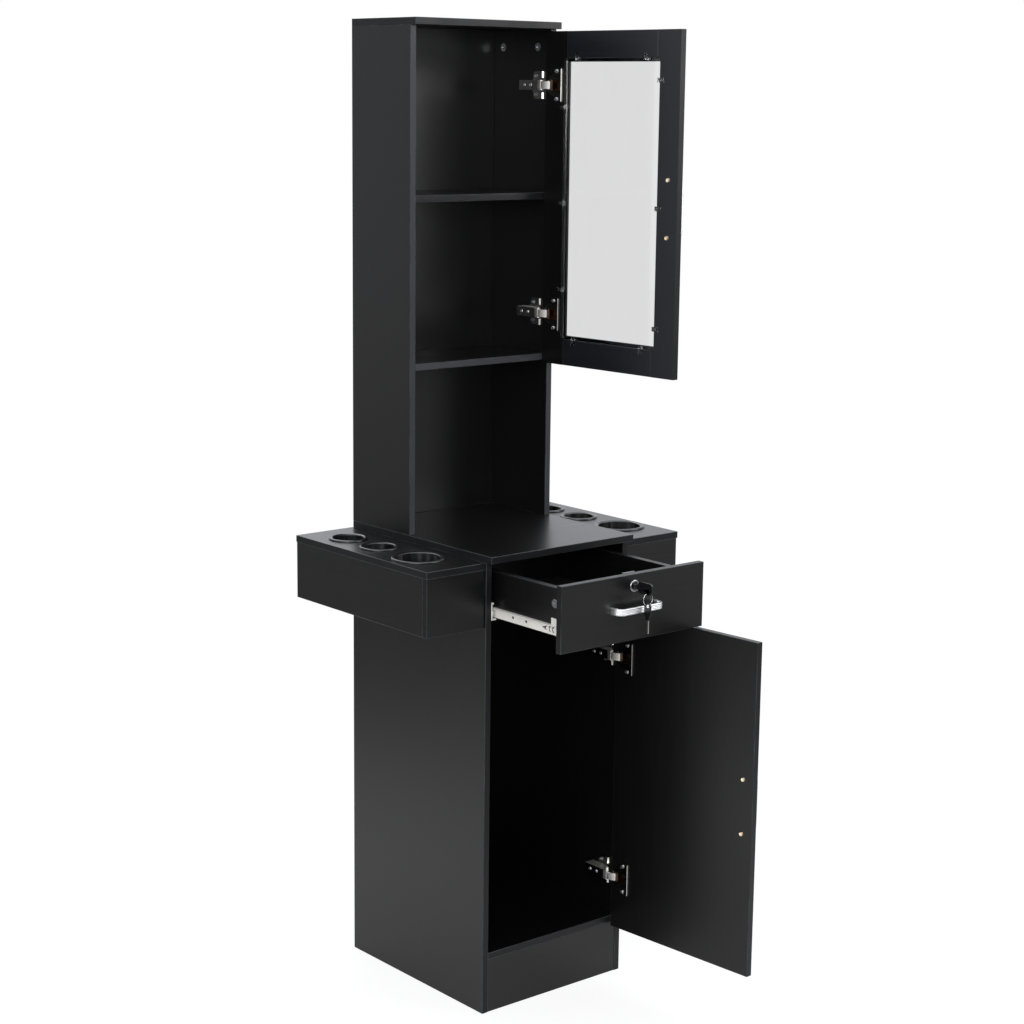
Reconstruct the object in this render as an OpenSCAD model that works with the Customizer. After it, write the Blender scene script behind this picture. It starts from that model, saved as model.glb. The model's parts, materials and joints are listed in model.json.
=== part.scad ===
// Salon storage cabinet, millimetres, +Z up, front towards -Y
// A lower cabinet with a drawer and a door, a box wing with cup holders on each side,
// and a shallow hutch with two shelves and a glazed door
// The origin is the bottom centre of the whole object with its drawer and doors open

/* [Boards] */
// Width over the side panels of the cabinet
body_w = 320; // [290:1:420]
// Thickness of every laminated board
board = 12; // [12:0.5:16]
// Gap between the carcass edges and the fronts that cover them
face_gap = 2; // [2:0.1:3]
// How far a front stays inside the outer face of each side panel
edge_reveal = 1; // [0.5:0.1:2]

/* [Lower cabinet] */
// Depth of the side panels
lower_depth = 380; // [370:1:440]
// Height of the counter's top face
counter_h = 812; // [780:1:900]
// Height of the kick plate, up to the underside of the bottom panel
kick_h = 97; // [60:1:120]
// How far the kick plate stands behind the side panels' front edges
kick_inset = 1; // [0:0.5:6]
// How far the lower door hangs below the bottom panel's underside
door_drop = 5; // [2:0.5:8]
// Angle at which the lower door stands open
lower_open = 94.8; // [60:0.1:98]

/* [Hutch] */
// Overall height
total_h = 1690; // [1600:1:1800]
// Depth of the hutch's side panels
hutch_depth = 168; // [150:1:220]
// Height of the open niche above the counter
niche_h = 286; // [240:1:340]
// Height of the compartment between the two shelves
bay_h = 274; // [200:1:330]
// Gap over the upper door
upper_door_gap = 4; // [2:0.5:6]
// How far the upper door hangs below the lower shelf's underside
upper_door_drop = 3.5; // [1:0.5:8]
// Angle at which the upper door stands open
upper_open = 93.5; // [60:0.1:98]

/* [Wings] */
// Width of a wing's top panel
wing_w = 123; // [115:1:150]
// Height of a wing, top panel included
wing_h = 112; // [106:1:130]
// Depth of a wing
wing_depth = 378; // [360:1:380]
// How far the top panel stands past the outer side
wing_lip = 1.5; // [0:0.5:3]

/* [Cup holders] */
// Outer radius of a small holder's rim
small_rim_r = 34.5; // [32:0.5:36]
// Inner radius of a small holder
small_cup_r = 27; // [25:0.5:28]
// Outer radius of a large holder's rim
large_rim_r = 46; // [44:0.5:50]
// Inner radius of a large holder
large_cup_r = 37.5; // [35:0.5:39]
// Wall of a holder
cup_wall = 2; // [1.5:0.1:3]
// Depth of a holder below the wing's top face
cup_depth = 80; // [50:1:84]
// Height of the rim over the wing's top face
rim_h = 3.5; // [2:0.1:4]
// Radius of the round bead of the rim
bead_r = 1.5; // [1:0.1:1.9]
// Distance of the holders' centres from the inner face of the wing's outer side
cup_off = 41.5; // [41.5:0.5:45]
// Distance from the back to the rear small holder
cup_back = 81; // [60:1:90]
// Distance between the two small holders
small_pitch = 91; // [80:1:100]
// Distance from the front small holder to the large holder
large_pitch = 110.5; // [95:0.5:116]

/* [Drawer] */
// Height of the drawer front
drawer_front_h = 112; // [105:1:130]
// Gap over the drawer front
drawer_top_gap = 5.5; // [5:0.1:8]
// Gap between the drawer front and the lower door
front_gap = 3; // [2:0.1:5]
// Length of the drawer sides
drawer_len = 330; // [300:1:345]
// Height of the drawer sides
drawer_side_h = 78; // [70:1:84]
// Thickness of the drawer's bottom
drawer_bottom_t = 3; // [2.5:0.1:5]
// Height of the slide's underside over the lower edge of the drawer front
slide_rise = 17.5; // [12:0.5:22]
// How far the drawer stands open
drawer_open = 176; // [0:1:250]

/* [Slides] */
// Space for a slide between the cabinet and the drawer side
slide_w = 12.5; // [12:0.1:14]
// Height of the rail on the cabinet
rail_h = 30; // [28:0.5:36]
// Height of the rail on the drawer
drawer_rail_h = 17; // [16:0.5:20]
// Length of the rails
rail_len = 350; // [330:1:355]
// Sheet thickness of the rails
rail_t = 1.2; // [0.8:0.1:1.5]
// Radius of the rollers
roller_r = 8; // [6.5:0.1:8]
// Width of the rollers
roller_w = 6; // [4:0.1:6.4]

/* [Upper door] */
// Width of the stiles and rails
frame_w = 52; // [46:1:70]
// Width of the rebate for the pane
rebate_w = 6; // [5:0.5:8]
// Depth of the rebate from the inner face
rebate_d = 8; // [6:0.5:9]
// Thickness of the glass pane
pane_t = 4; // [3:0.5:5]
// Thickness of the clips that hold the pane
clip_t = 1.6; // [1.2:0.1:2]

/* [Handles] */
// Distance between the handle's screws
handle_pitch = 96; // [64:1:128]
// Height of the flat strap
strap_h = 11; // [8:0.5:14]
// Thickness of the strap
strap_t = 4.5; // [4.5:0.1:6]
// How far the handle stands out
handle_out = 22; // [18:0.5:23]
// Distance from a door's free edge to its handle screws
handle_edge = 22; // [18:0.5:40]

/* [Hinges] */
// Height of a hinge's centre from the nearer end of its door
hinge_end = 90; // [60:1:140]
// Radius of the hinge cup
cup_r = 17.5; // [17.5:0.1:18]
// Depth of the hinge cup
hinge_cup_d = 10.5; // [10:0.1:11]
// Distance of the cup's wall from the door's edge
cup_tab = 4; // [3.5:0.1:6]
// Distance between the two screws of a cup
cup_screw_pitch = 48; // [46:0.5:52]
// Distance between the two screws of a mounting plate
plate_screw_pitch = 32; // [28:0.5:34]
// Distance of those screws behind the carcass edge
plate_setback = 37; // [34:0.5:46]

/* [Lock] */
// Depth of the lock's centre below the top edge of the drawer front
lock_drop = 20; // [19:0.5:24]
// Radius of the chrome ring
bezel_r = 10.2; // [9.8:0.1:12]
// Radius of the turning plug
plug_r = 7; // [6.5:0.1:7.5]
// Width of the bolt
bolt_w = 26; // [24:0.5:28]
// Radius of the key ring, to the middle of its wire
ring_r = 10; // [8:0.5:14]
// Radius of the key ring's wire
wire_r = 0.7; // [0.5:0.05:0.9]

/* [Hidden] */
$fn = 64;

// Clearances
cut = 1;
board_gap = 0.3;
hole_gap = 0.05;
run_gap = 0.05;
roll_gap = 0.1;

// Hinge linkage, seen from above at the closed door, measured from the point where the
// side panel's inner face meets its front edge: a link turns on the arm's nose by half the
// door's angle, the other way, while its far end carries the pin in the door's cup
nose = [-20, 1.5];
cup_pin_s = 12;
cup_pin_d = 3;
link_turn = 0.5;
function turn(a, v) = [v[0] * cos(a) - v[1] * sin(a), v[0] * sin(a) + v[1] * cos(a)];
shut_corner = [board - edge_reveal, -face_gap];
shut_pin = [shut_corner[0] - cup_pin_s, shut_corner[1] - cup_pin_d];
link = [shut_pin[0] - nose[0], shut_pin[1] - nose[1]];
link_len = norm(link);
link_dir = atan2(link[1], link[0]);
function pin_at(q) = nose + turn(-q * link_turn, link);
function corner_at(q) = pin_at(q) + turn(q, [cup_pin_s, cup_pin_d]);

// Plan
half_w = body_w / 2;
side_in = half_w - board;
inside_w = body_w - 2 * board;
front_w = body_w - 2 * edge_reveal;
free_corner = corner_at(lower_open) + turn(lower_open, [-front_w, 0]);
reach = lower_depth - free_corner[1];
rear = reach / 2;
low_front = rear - lower_depth;
hutch_front = rear - hutch_depth;
lip = face_gap + board;
wing_front = rear - wing_depth;

// Heights
counter_low = counter_h - board;
bottom_top = kick_h + board;
top_low = total_h - board;
shelf_low = counter_h + niche_h;
shelf_top = shelf_low + board;
mid_shelf = shelf_top + bay_h;
wing_low = counter_low - wing_h;
drawer_top = counter_low - drawer_top_gap;
drawer_low = drawer_top - drawer_front_h;
lower_door_top = drawer_low - front_gap;
lower_door_low = kick_h - door_drop;
lower_door_h = lower_door_top - lower_door_low;
upper_door_top = top_low - upper_door_gap;
upper_door_low = shelf_low - upper_door_drop;
upper_door_h = upper_door_top - upper_door_low;
hutch_h = top_low - counter_h;

// Slides
slide_z = drawer_low + slide_rise;
rail_flange = slide_w - 2;
drawer_flange = 8;
stop_w = 2.2;
rail_lip = 2;
under_z = slide_z + 3;
side_z = under_z + rail_t;
ride_z = under_z + drawer_rail_h - rail_t;
front_roller_z = ride_z - roll_gap - roller_r;
rear_roller_z = slide_z + rail_t + roll_gap + roller_r;
front_roller_back = 12;
rear_roller_in = 10;
roller_x = 2.4;
stud_r = 2;
stud_head_r = 3;
stud_head_t = 0.8;
rear_stud_l = slide_w - rail_t / 2 - roller_x;
rail_front = low_front;
rail_rear = rail_front + rail_len;

// Drawer
drawer_x = side_in - slide_w;
drawer_shut = low_front - face_gap;
drawer_y = drawer_shut - drawer_open;
drawer_rear = drawer_y + drawer_len;
groove_d = 5;
groove_z = side_z + 6;
drawer_side_top = side_z + drawer_side_h;

// Lock
lock_z = drawer_top - lock_drop;
case_wall = 1.5;
case_room = 4.6;
case_d = 2 * case_wall + case_room;
case_w = 40;
case_low = 18;
case_top = lock_drop - 4;
housing_r = plug_r + 2;
bolt_t = 4;
bolt_up = lock_drop + 0.3;
bolt_down = 14;
bolt_slack = 0.2;
bolt_travel = 8;
finger_l = 8.5;
finger_w = 3;
tail_r = 2.5;
window_up = 4;
window_down = 11.2;
bezel_t = 2;

// Keys
bow_t = 3;
bow_w = 20;
bow_l = 33;
bow_r = 5;
collar_w = 9;
collar_l = 5;
blade_w = 6;
blade_t = 1.8;
blade_l = 22;
key_hole_r = 3;
key_hole_in = 10;
key_hole_low = 4.5; // how far the eye lies below the middle of the bow
key_out = 3;
spare_bow_w = 15;
spare_bow_l = 24;
spare_hole_in = 5.5;

// Screws
wood_r = 1.7;
wood_l = 9;
head_r = 3.6;
head_h = 2;
bolt_m = 2;
clip_screw_r = 1.2;
clip_screw_l = 7;
disc_r = 7.5;
disc_t = 9;
disc_drop = 30;
disc_in = 36;
drawer_disc_in = 31;

// Shapes used more than once
module block(lo, hi) { translate(lo) cube(hi - lo); }

module screw(l, r, hr, hh) {
    difference() {
        union() {
            translate([0, 0, -l]) cylinder(h = l + hh / 2, r = r);
            cylinder(h = hh, r1 = hr, r2 = hr * 0.8);
        }
        for (a = [0, 90])
            rotate([0, 0, a])
                translate([-hr * 0.55, -0.4, hh * 0.45])
                    cube([hr * 1.1, 0.8, hh]);
    }
}

module wood_screw() { screw(wood_l, wood_r, head_r, head_h); }

module both_sides() {
    children();
    mirror([1, 0, 0]) children();
}

// Rectangle with round corners, its lower left corner at the origin
module rounded(w, h, r) {
    translate([r, 0]) square([w - 2 * r, h]);
    translate([0, r]) square([w, h - 2 * r]);
    for (x = [r, w - r])
        for (y = [r, h - r])
            translate([x, y]) circle(r = r);
}

// Bow handle in the XZ plane, its feet on y = 0, standing out along -Y
foot_w = 8;
foot_l = 9;
foot_bore = 7;

module handle() {
    half = (handle_pitch + foot_w) / 2;
    bend = handle_out - 6;
    inner = bend - strap_t;
    difference() {
        translate([0, 0, -strap_h / 2]) linear_extrude(strap_h) difference() {
            intersection() {
                translate([-half, -handle_out]) rounded(2 * half, 2 * handle_out, bend);
                translate([-half, -handle_out]) square([2 * half, handle_out]);
            }
            intersection() {
                translate([-half + strap_t, -handle_out + strap_t])
                    rounded(2 * (half - strap_t), 2 * handle_out, inner);
                translate([-half, -handle_out]) square([2 * half, handle_out - foot_l]);
            }
            translate([-half + foot_w, -foot_l - cut])
                square([2 * (half - foot_w), foot_l + 2 * cut]);
        }
        for (k = [-1, 1])
            translate([k * handle_pitch / 2, cut, 0]) rotate([90, 0, 0])
                cylinder(h = foot_bore + cut, r = bolt_m + hole_gap);
    }
}

// Machine screw from the inner face of a front into the foot of its handle
module handle_screw() {
    rotate([-90, 0, 0]) translate([0, 0, board]) screw(board + 6, bolt_m, 4, 2.2);
}

module handle_bores() {
    for (k = [-1, 1])
        translate([k * handle_pitch / 2, -cut, 0]) rotate([-90, 0, 0])
            cylinder(h = board + 2 * cut, r = bolt_m + hole_gap);
}

// Hinge

// Places a hinge part on the right side panel, from the corner named above
module at_side(front_y, z) {
    translate([side_in, front_y, z]) children();
}

// Places a door part: x runs back from the hinge edge, y = 0 is the inner face
module at_door(front_y, q, z) {
    c = corner_at(q);
    translate([side_in + c[0], front_y + c[1], z]) rotate([0, 0, q]) children();
}

cup_s = cup_tab + cup_r;
rim_t = 0.8;
flange_t = 1;
flange_h = 60;
flange_reach = cup_r + 1.5;
cup_screw_s = cup_s + 6;
pocket_h = 8.8;
pocket_s = 14;
pin_r = 1.5;
link_h = 6.5;
eye_r = 2.6;

module hinge_cup() {
    difference() {
        union() {
            translate([-cup_s, 0, 0]) rotate([90, 0, 0]) cylinder(h = hinge_cup_d, r = cup_r);
            translate([-cup_s, rim_t, 0]) rotate([90, 0, 0]) cylinder(h = rim_t, r = cup_r + 1);
            block([-cup_s - flange_reach, 0, -flange_h / 2], [-cup_s - 2, flange_t, flange_h / 2]);
        }
        block([-cup_s - pocket_s, -hinge_cup_d + 1.2, -pocket_h], [-cup_s + pocket_s, 2, pocket_h]);
        for (k = [-1, 1])
            translate([-cup_screw_s, 0, k * cup_screw_pitch / 2]) rotate([90, 0, 0])
                translate([0, 0, -2]) cylinder(h = 4, r = wood_r + hole_gap);
    }
    translate([-cup_pin_s, -cup_pin_d, -pocket_h - 1]) cylinder(h = 2 * pocket_h + 2, r = pin_r);
}

module cup_screws() {
    for (k = [-1, 1])
        translate([-cup_screw_s, flange_t, k * cup_screw_pitch / 2]) rotate([-90, 0, 0])
            wood_screw();
}

// Room in a door board for one cup and its screws
module cup_bores() {
    translate([-cup_s, cut, 0]) rotate([90, 0, 0])
        cylinder(h = hinge_cup_d + cut + hole_gap, r = cup_r + hole_gap);
    for (k = [-1, 1])
        translate([-cup_screw_s, cut, k * cup_screw_pitch / 2]) rotate([90, 0, 0])
            cylinder(h = wood_l + cut, r = wood_r + hole_gap);
}

// Cranked link with its cup eye at the origin and its nose eye along +X
module link_shape() {
    difference() {
        union() {
            circle(r = eye_r);
            translate([link_len, 0]) circle(r = eye_r);
            polygon([
                [-2.1, 1.5], [2.6, 5.8], [link_len - 4.6, 6.2], [link_len + 2.1, 1.5],
                [link_len - 1.5, -0.4], [link_len - 5.5, 3.6], [3.6, 3.4], [1.5, -0.4]
            ]);
        }
        circle(r = pin_r + run_gap);
        translate([link_len, 0]) circle(r = pin_r + run_gap);
    }
}

module hinge_link(q) {
    p = pin_at(q);
    translate([p[0], p[1], -link_h]) rotate([0, 0, 180 + link_dir - q * link_turn])
        linear_extrude(2 * link_h) link_shape();
}

// Arm: a channel open towards the side panel, with the fixed pin across its nose
arm_len = 58;
arm_wall = 1.5;
arm_out = 3.4;
arm_low = 3;
nose_r = 3;
arm_in = link_h + 0.4;
web_front = 8;
block_front = 20;
block_end = 52;
block_out = 14;
plate_t = 2;
plate_half = 24;
wing_back = 9;
adjust_r = 2.5;
adjust_front = 27;
adjust_rear = 44;

module hinge_arm() {
    web_x = nose[0] - arm_out;
    difference() {
        union() {
            for (k = [0, 1]) mirror([0, 0, k]) translate([0, 0, arm_in])
                linear_extrude(arm_wall) union() {
                    translate(nose) circle(r = nose_r);
                    polygon([
                        [nose[0] - nose_r, nose[1]], [web_x, web_front],
                        [web_x, arm_len], [-arm_low, arm_len], [-arm_low, block_front - 1],
                        [nose[0] + nose_r, nose[1] + 1]
                    ]);
                }
            block([web_x, web_front, -arm_in - arm_wall], [web_x + arm_wall, arm_len, arm_in + arm_wall]);
            translate([nose[0], nose[1], -arm_in - 0.5]) cylinder(h = 2 * arm_in + 1, r = pin_r);
        }
        for (y = [adjust_front, adjust_rear])
            translate([web_x - cut, y, 0]) rotate([0, 90, 0])
                cylinder(h = arm_wall + 2 * cut, r = adjust_r + hole_gap);
    }
}

module hinge_plate() {
    difference() {
        union() {
            block([-block_out, block_front, -link_h], [-plate_t, block_end, link_h]);
            block([-plate_t, plate_setback - wing_back - 12, -plate_half / 2],
                [0, plate_setback + wing_back, plate_half / 2]);
            for (k = [-1, 1])
                translate([-plate_t, plate_setback, k * plate_screw_pitch / 2]) rotate([0, 90, 0])
                    cylinder(h = plate_t, r = wing_back - 1);
            block([-plate_t, plate_setback - wing_back - 12, -plate_half],
                [0, plate_setback, plate_half]);
        }
        for (k = [-1, 1])
            translate([-plate_t - cut, plate_setback, k * plate_screw_pitch / 2]) rotate([0, 90, 0])
                cylinder(h = plate_t + 2 * cut, r = wood_r + hole_gap);
        for (y = [adjust_front, adjust_rear])
            translate([-block_out - cut, y, 0]) rotate([0, 90, 0])
                cylinder(h = 6 + cut, r = adjust_r + hole_gap);
    }
}

// The two wood screws of a plate and the two adjusting screws of its arm
module plate_screws() {
    for (k = [-1, 1])
        translate([-plate_t, plate_setback, k * plate_screw_pitch / 2]) rotate([0, -90, 0])
            wood_screw();
    for (y = [adjust_front, adjust_rear])
        translate([nose[0] - arm_out, y, 0]) rotate([0, -90, 0])
            screw(arm_out - nose[0] - block_out + 6, adjust_r, 3.4, 1.2);
}

module plate_bores() {
    for (k = [-1, 1])
        translate([-cut, plate_setback, k * plate_screw_pitch / 2]) rotate([0, 90, 0])
            cylinder(h = wood_l + cut, r = wood_r + hole_gap);
}

lower_rise = 6;
lower_hinges = [lower_door_low + hinge_end + lower_rise, lower_door_top - hinge_end + lower_rise];
upper_rise = -2;
upper_hinges = [upper_door_low + hinge_end + upper_rise, upper_door_top - hinge_end + upper_rise];

// Carcass

black = [0.12, 0.12, 0.125];

// Screws of a cabinet rail, measured back from its front end
rail_screws = [38, 198, 320];
rail_screw_r = 2;
rail_screw_l = 9;
rail_screw_z = slide_z + 0.8 * rail_h;

module rail_bores() {
    for (d = rail_screws)
        translate([-side_in + cut, rail_front + d, rail_screw_z]) rotate([0, -90, 0])
            cylinder(h = rail_screw_l + cut, r = rail_screw_r + hole_gap);
}

module left_side_panel() {
    color(black) difference() {
        block([-half_w, low_front, 0], [-side_in, rear, counter_low]);
        rail_bores();
    }
}

module right_side_panel() {
    color(black) difference() {
        block([side_in, low_front, 0], [half_w, rear, counter_low]);
        mirror([1, 0, 0]) rail_bores();
        for (z = lower_hinges) at_side(low_front, z) plate_bores();
    }
}

module lower_back_panel() {
    color(black) block([-side_in, rear - board, bottom_top], [side_in, rear, counter_low]);
}

module bottom_panel() {
    color(black) block([-side_in, low_front, kick_h], [side_in, rear, bottom_top]);
}

module kick_plate() {
    color(black)
        block([-side_in, low_front + kick_inset, 0], [side_in, low_front + kick_inset + board, kick_h]);
}

// The slot in the counter's underside takes the lock's bolt when the drawer is shut
module counter_panel() {
    slot_y = drawer_shut + case_wall;
    color(black) difference() {
        block([-half_w, low_front - lip, counter_low], [half_w, rear, counter_h]);
        block([-bolt_w / 2 - 1, slot_y - 0.5, counter_low - cut],
            [bolt_w / 2 + 1, slot_y + case_room + 0.5, counter_low + bolt_travel - 1]);
    }
}

// Cam discs join the hutch's top to its sides and the drawer's front to its sides
function disc_ys() = [rear - disc_in, hutch_front + disc_in];

module hutch_disc_bores() {
    for (y = disc_ys())
        translate([-side_in + cut, y, top_low - disc_drop]) rotate([0, -90, 0])
            cylinder(h = disc_t + hole_gap + cut, r = disc_r + hole_gap);
}

module hutch_left_panel() {
    color(black) difference() {
        block([-half_w, hutch_front, counter_h], [-side_in, rear, top_low]);
        hutch_disc_bores();
    }
}

module hutch_right_panel() {
    color(black) difference() {
        block([side_in, hutch_front, counter_h], [half_w, rear, top_low]);
        mirror([1, 0, 0]) hutch_disc_bores();
        for (z = upper_hinges) at_side(hutch_front, z) plate_bores();
    }
}

module hutch_top_panel() {
    color(black) block([-half_w, hutch_front - lip, top_low], [half_w, rear, total_h]);
}

module hutch_back_panel() {
    color(black) block([-side_in, rear - board, counter_h], [side_in, rear, top_low]);
}

module shelf(z) {
    color(black) block([-side_in, hutch_front, z], [side_in, rear - board, z + board]);
}

module upper_shelf() { shelf(mid_shelf); }

module lower_shelf() { shelf(shelf_low); }

module cam_disc() {
    color("silver") difference() {
        cylinder(h = disc_t, r = disc_r);
        for (a = [0, 90])
            rotate([0, 0, a]) translate([-4, -0.6, disc_t - 1.6]) cube([8, 1.2, 2]);
    }
}

module cam_discs() {
    both_sides()
        for (y = disc_ys())
            translate([-side_in - disc_t, y, top_low - disc_drop]) rotate([0, 90, 0]) cam_disc();
}

// Wings, drawn on the left and mirrored to the right

cup_ys = [rear - cup_back, rear - cup_back - small_pitch];
large_y = rear - cup_back - small_pitch - large_pitch;
wing_out = half_w + wing_w;
wing_body = wing_out - wing_lip;
cup_x = -wing_body + board + cup_off;
wing_top_low = counter_low - board;

module wing_top() {
    color(black) difference() {
        block([-wing_out, wing_front, wing_top_low], [-half_w, rear, counter_low]);
        for (y = cup_ys)
            translate([cup_x, y, wing_top_low - cut])
                cylinder(h = board + 2 * cut, r = small_cup_r + cup_wall + board_gap);
        translate([cup_x, large_y, wing_top_low - cut])
            cylinder(h = board + 2 * cut, r = large_cup_r + cup_wall + board_gap);
    }
}

module wing_side() {
    color(black)
        block([-wing_body, wing_front + wing_lip + board, wing_low],
            [-wing_body + board, rear, wing_top_low]);
}

// The front board covers the side's front edge
module wing_front_panel() {
    color(black) block([-wing_body, wing_front + wing_lip, wing_low],
        [-half_w, wing_front + wing_lip + board, wing_top_low]);
}

module wing_back_panel() {
    color(black)
        block([-wing_body + board, rear - board, wing_low], [-half_w, rear, wing_top_low]);
}

module wing_bottom() {
    color(black) block([-wing_body + board, wing_front + wing_lip + board, wing_low],
        [-half_w, rear - board, wing_low + board]);
}

module left_wing_top() { wing_top(); }
module left_wing_side() { wing_side(); }
module left_wing_front() { wing_front_panel(); }
module left_wing_back() { wing_back_panel(); }
module left_wing_bottom() { wing_bottom(); }
module right_wing_top() { mirror([1, 0, 0]) wing_top(); }
module right_wing_side() { mirror([1, 0, 0]) wing_side(); }
module right_wing_front() { mirror([1, 0, 0]) wing_front_panel(); }
module right_wing_back() { mirror([1, 0, 0]) wing_back_panel(); }
module right_wing_bottom() { mirror([1, 0, 0]) wing_bottom(); }

// Cup with a round bead on its rim, hanging by the rim from the wing's top face
mouth_r = 2; // the mouth's rounded edge, in two flats

module cup_holder(cup, rim) {
    color([0.1, 0.1, 0.1]) translate([0, 0, counter_low]) rotate_extrude() union() {
        polygon([
            [0, -cup_depth], [cup + cup_wall, -cup_depth], [cup + cup_wall, 0],
            [rim - bead_r, 0], [rim - bead_r, 2 * bead_r], [rim - 2 * bead_r, rim_h],
            [cup + mouth_r, rim_h], [cup + 0.3 * mouth_r, rim_h - 0.3 * mouth_r],
            [cup, rim_h - mouth_r], [cup, -cup_depth + cup_wall], [0, -cup_depth + cup_wall]
        ]);
        translate([rim - bead_r, bead_r]) circle(r = bead_r);
    }
}

module small_cup_holders() {
    both_sides() for (y = cup_ys) translate([cup_x, y, 0]) cup_holder(small_cup_r, small_rim_r);
}

module large_cup_holders() {
    both_sides() translate([cup_x, large_y, 0]) cup_holder(large_cup_r, large_rim_r);
}

// Slides, drawn on the left, x measured inwards from the side panel's face

// A bent sheet profile in the XZ plane, run back from y0
module sheet_run(y0, l) {
    translate([0, y0 + l, 0]) rotate([90, 0, 0]) linear_extrude(l) children();
}

module cabinet_rail() {
    color("ivory") translate([-side_in, 0, slide_z]) {
        difference() {
            sheet_run(rail_front, rail_len) polygon([
                [0, 0], [rail_flange, 0], [rail_flange, rail_lip], [rail_flange - rail_t, rail_lip],
                [rail_flange - rail_t, rail_t], [rail_t, rail_t], [rail_t, rail_h - rail_t],
                [5 - rail_t, rail_h - rail_t], [5 - rail_t, rail_h - 3], [5, rail_h - 3],
                [5, rail_h], [0, rail_h]
            ]);
            for (d = rail_screws)
                translate([-cut, rail_front + d, rail_screw_z - slide_z]) rotate([0, 90, 0])
                    cylinder(h = 3 * cut, r = rail_screw_r + hole_gap);
        }
        block([rail_t / 2, rail_front, rail_t / 2],
            [stop_w, rail_front + rail_t, rail_h - rail_t / 2]);
        translate([rail_t / 2, rail_front + front_roller_back, front_roller_z - slide_z])
            rotate([0, 90, 0]) {
                cylinder(h = roller_x + roller_w, r = stud_r);
                translate([0, 0, roller_x + roller_w]) cylinder(h = stud_head_t, r = stud_head_r);
            }
    }
}

module cabinet_rails() { both_sides() cabinet_rail(); }

module roller() {
    color("white") rotate([0, 90, 0]) difference() {
        union() {
            cylinder(h = roller_w, r = roller_r - 0.4);
            translate([0, 0, 1]) cylinder(h = roller_w - 2, r = roller_r);
        }
        translate([0, 0, -cut]) cylinder(h = roller_w + 2 * cut, r = stud_r + run_gap);
    }
}

module cabinet_rollers() {
    both_sides() translate([-side_in + roller_x, rail_front + front_roller_back, front_roller_z])
        roller();
}

// Drawer rail: a web on the drawer side, a foot under it and a flange that runs on the roller
rail_holes = [101.5, 135.5];
rail_hole_r = 2.7;
arrow_y = 47.5;
arrow_l = 13.5;
arrow_half = 4.6;
arrow_notch = 4;
chevron_off = [9, 17.4];
chevron_out = 6;
chevron_in = 3.3;
chevron_half = 4.7;
tab_y = 22;
tab_w = 16;
tab_h = 11;

module drawer_rail() {
    mid = drawer_rail_h / 2;
    color("ivory") translate([-drawer_x, 0, under_z]) {
        difference() {
            union() {
                sheet_run(drawer_y + 1, drawer_len - 1) polygon([
                    [-rail_t, 0], [9, 0], [9, rail_t], [0, rail_t], [0, drawer_rail_h],
                    [-drawer_flange, drawer_rail_h], [-drawer_flange, drawer_rail_h - rail_t],
                    [-rail_t, drawer_rail_h - rail_t]
                ]);
                block([-rail_t, drawer_y + tab_y, drawer_rail_h - cut],
                    [0, drawer_y + tab_y + tab_w, drawer_rail_h + tab_h]);
            }
            for (d = rail_holes)
                translate([-3, drawer_y + d, mid]) rotate([0, 90, 0]) cylinder(h = 4, r = rail_hole_r);
            translate([-3, drawer_y + arrow_y, mid]) rotate([90, 0, 90]) linear_extrude(4)
                polygon([[arrow_l, 0], [0, arrow_half], [arrow_notch, 0], [0, -arrow_half]]);
            for (d = chevron_off)
                translate([-3, drawer_y + arrow_y - d, mid]) rotate([90, 0, 90])
                    linear_extrude(4) difference() {
                        intersection() {
                            circle(r = chevron_out);
                            translate([0, -chevron_half]) square([chevron_out + 1, 2 * chevron_half]);
                        }
                        circle(r = chevron_in);
                    }
        }
        translate([-rail_t / 2, drawer_rear - rear_roller_in, rear_roller_z - under_z])
            rotate([0, -90, 0]) {
                cylinder(h = rear_stud_l, r = stud_r);
                translate([0, 0, rear_stud_l]) cylinder(h = stud_head_t, r = stud_head_r);
            }
    }
}

module drawer_rails() { both_sides() drawer_rail(); }

module drawer_rollers() {
    both_sides() translate([-side_in + roller_x + 0.2, drawer_rear - rear_roller_in, rear_roller_z])
        roller();
}

// Drawer

module drawer_front() {
    color(black) difference() {
        block([-front_w / 2, drawer_y - board, drawer_low], [front_w / 2, drawer_y, drawer_top]);
        translate([0, drawer_y + cut, lock_z]) rotate([90, 0, 0])
            cylinder(h = board + 2 * cut, r = housing_r + hole_gap);
        translate([0, drawer_y - board, drawer_low + drawer_front_h / 2]) handle_bores();
        block([-drawer_x + board - groove_d, drawer_y - groove_d, groove_z],
            [drawer_x - board + groove_d, drawer_y + cut, groove_z + drawer_bottom_t + board_gap]);
    }
}

drawer_disc_z = side_z + drawer_side_h * 0.66;

module drawer_side() {
    color(black) difference() {
        block([-drawer_x, drawer_y, side_z], [-drawer_x + board, drawer_rear, drawer_side_top]);
        block([-drawer_x + board - groove_d, drawer_y - cut, groove_z],
            [-drawer_x + board + cut, drawer_rear + cut, groove_z + drawer_bottom_t + board_gap]);
        translate([-drawer_x - cut, drawer_y + drawer_disc_in, drawer_disc_z]) rotate([0, 90, 0])
            cylinder(h = disc_t + hole_gap + cut, r = disc_r + hole_gap);
    }
}

module drawer_left_side() { drawer_side(); }

module drawer_right_side() { mirror([1, 0, 0]) drawer_side(); }

module drawer_back() {
    color(black) block([-drawer_x + board, drawer_rear - board, groove_z + drawer_bottom_t + board_gap],
        [drawer_x - board, drawer_rear, drawer_side_top]);
}

module drawer_bottom() {
    color([0.15, 0.15, 0.15]) block([-drawer_x + board - groove_d + board_gap,
        drawer_y - groove_d + board_gap, groove_z],
        [drawer_x - board + groove_d - board_gap, drawer_rear, groove_z + drawer_bottom_t]);
}

module drawer_handle() {
    color("silver") translate([0, drawer_y - board, drawer_low + drawer_front_h / 2]) handle();
}

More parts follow.
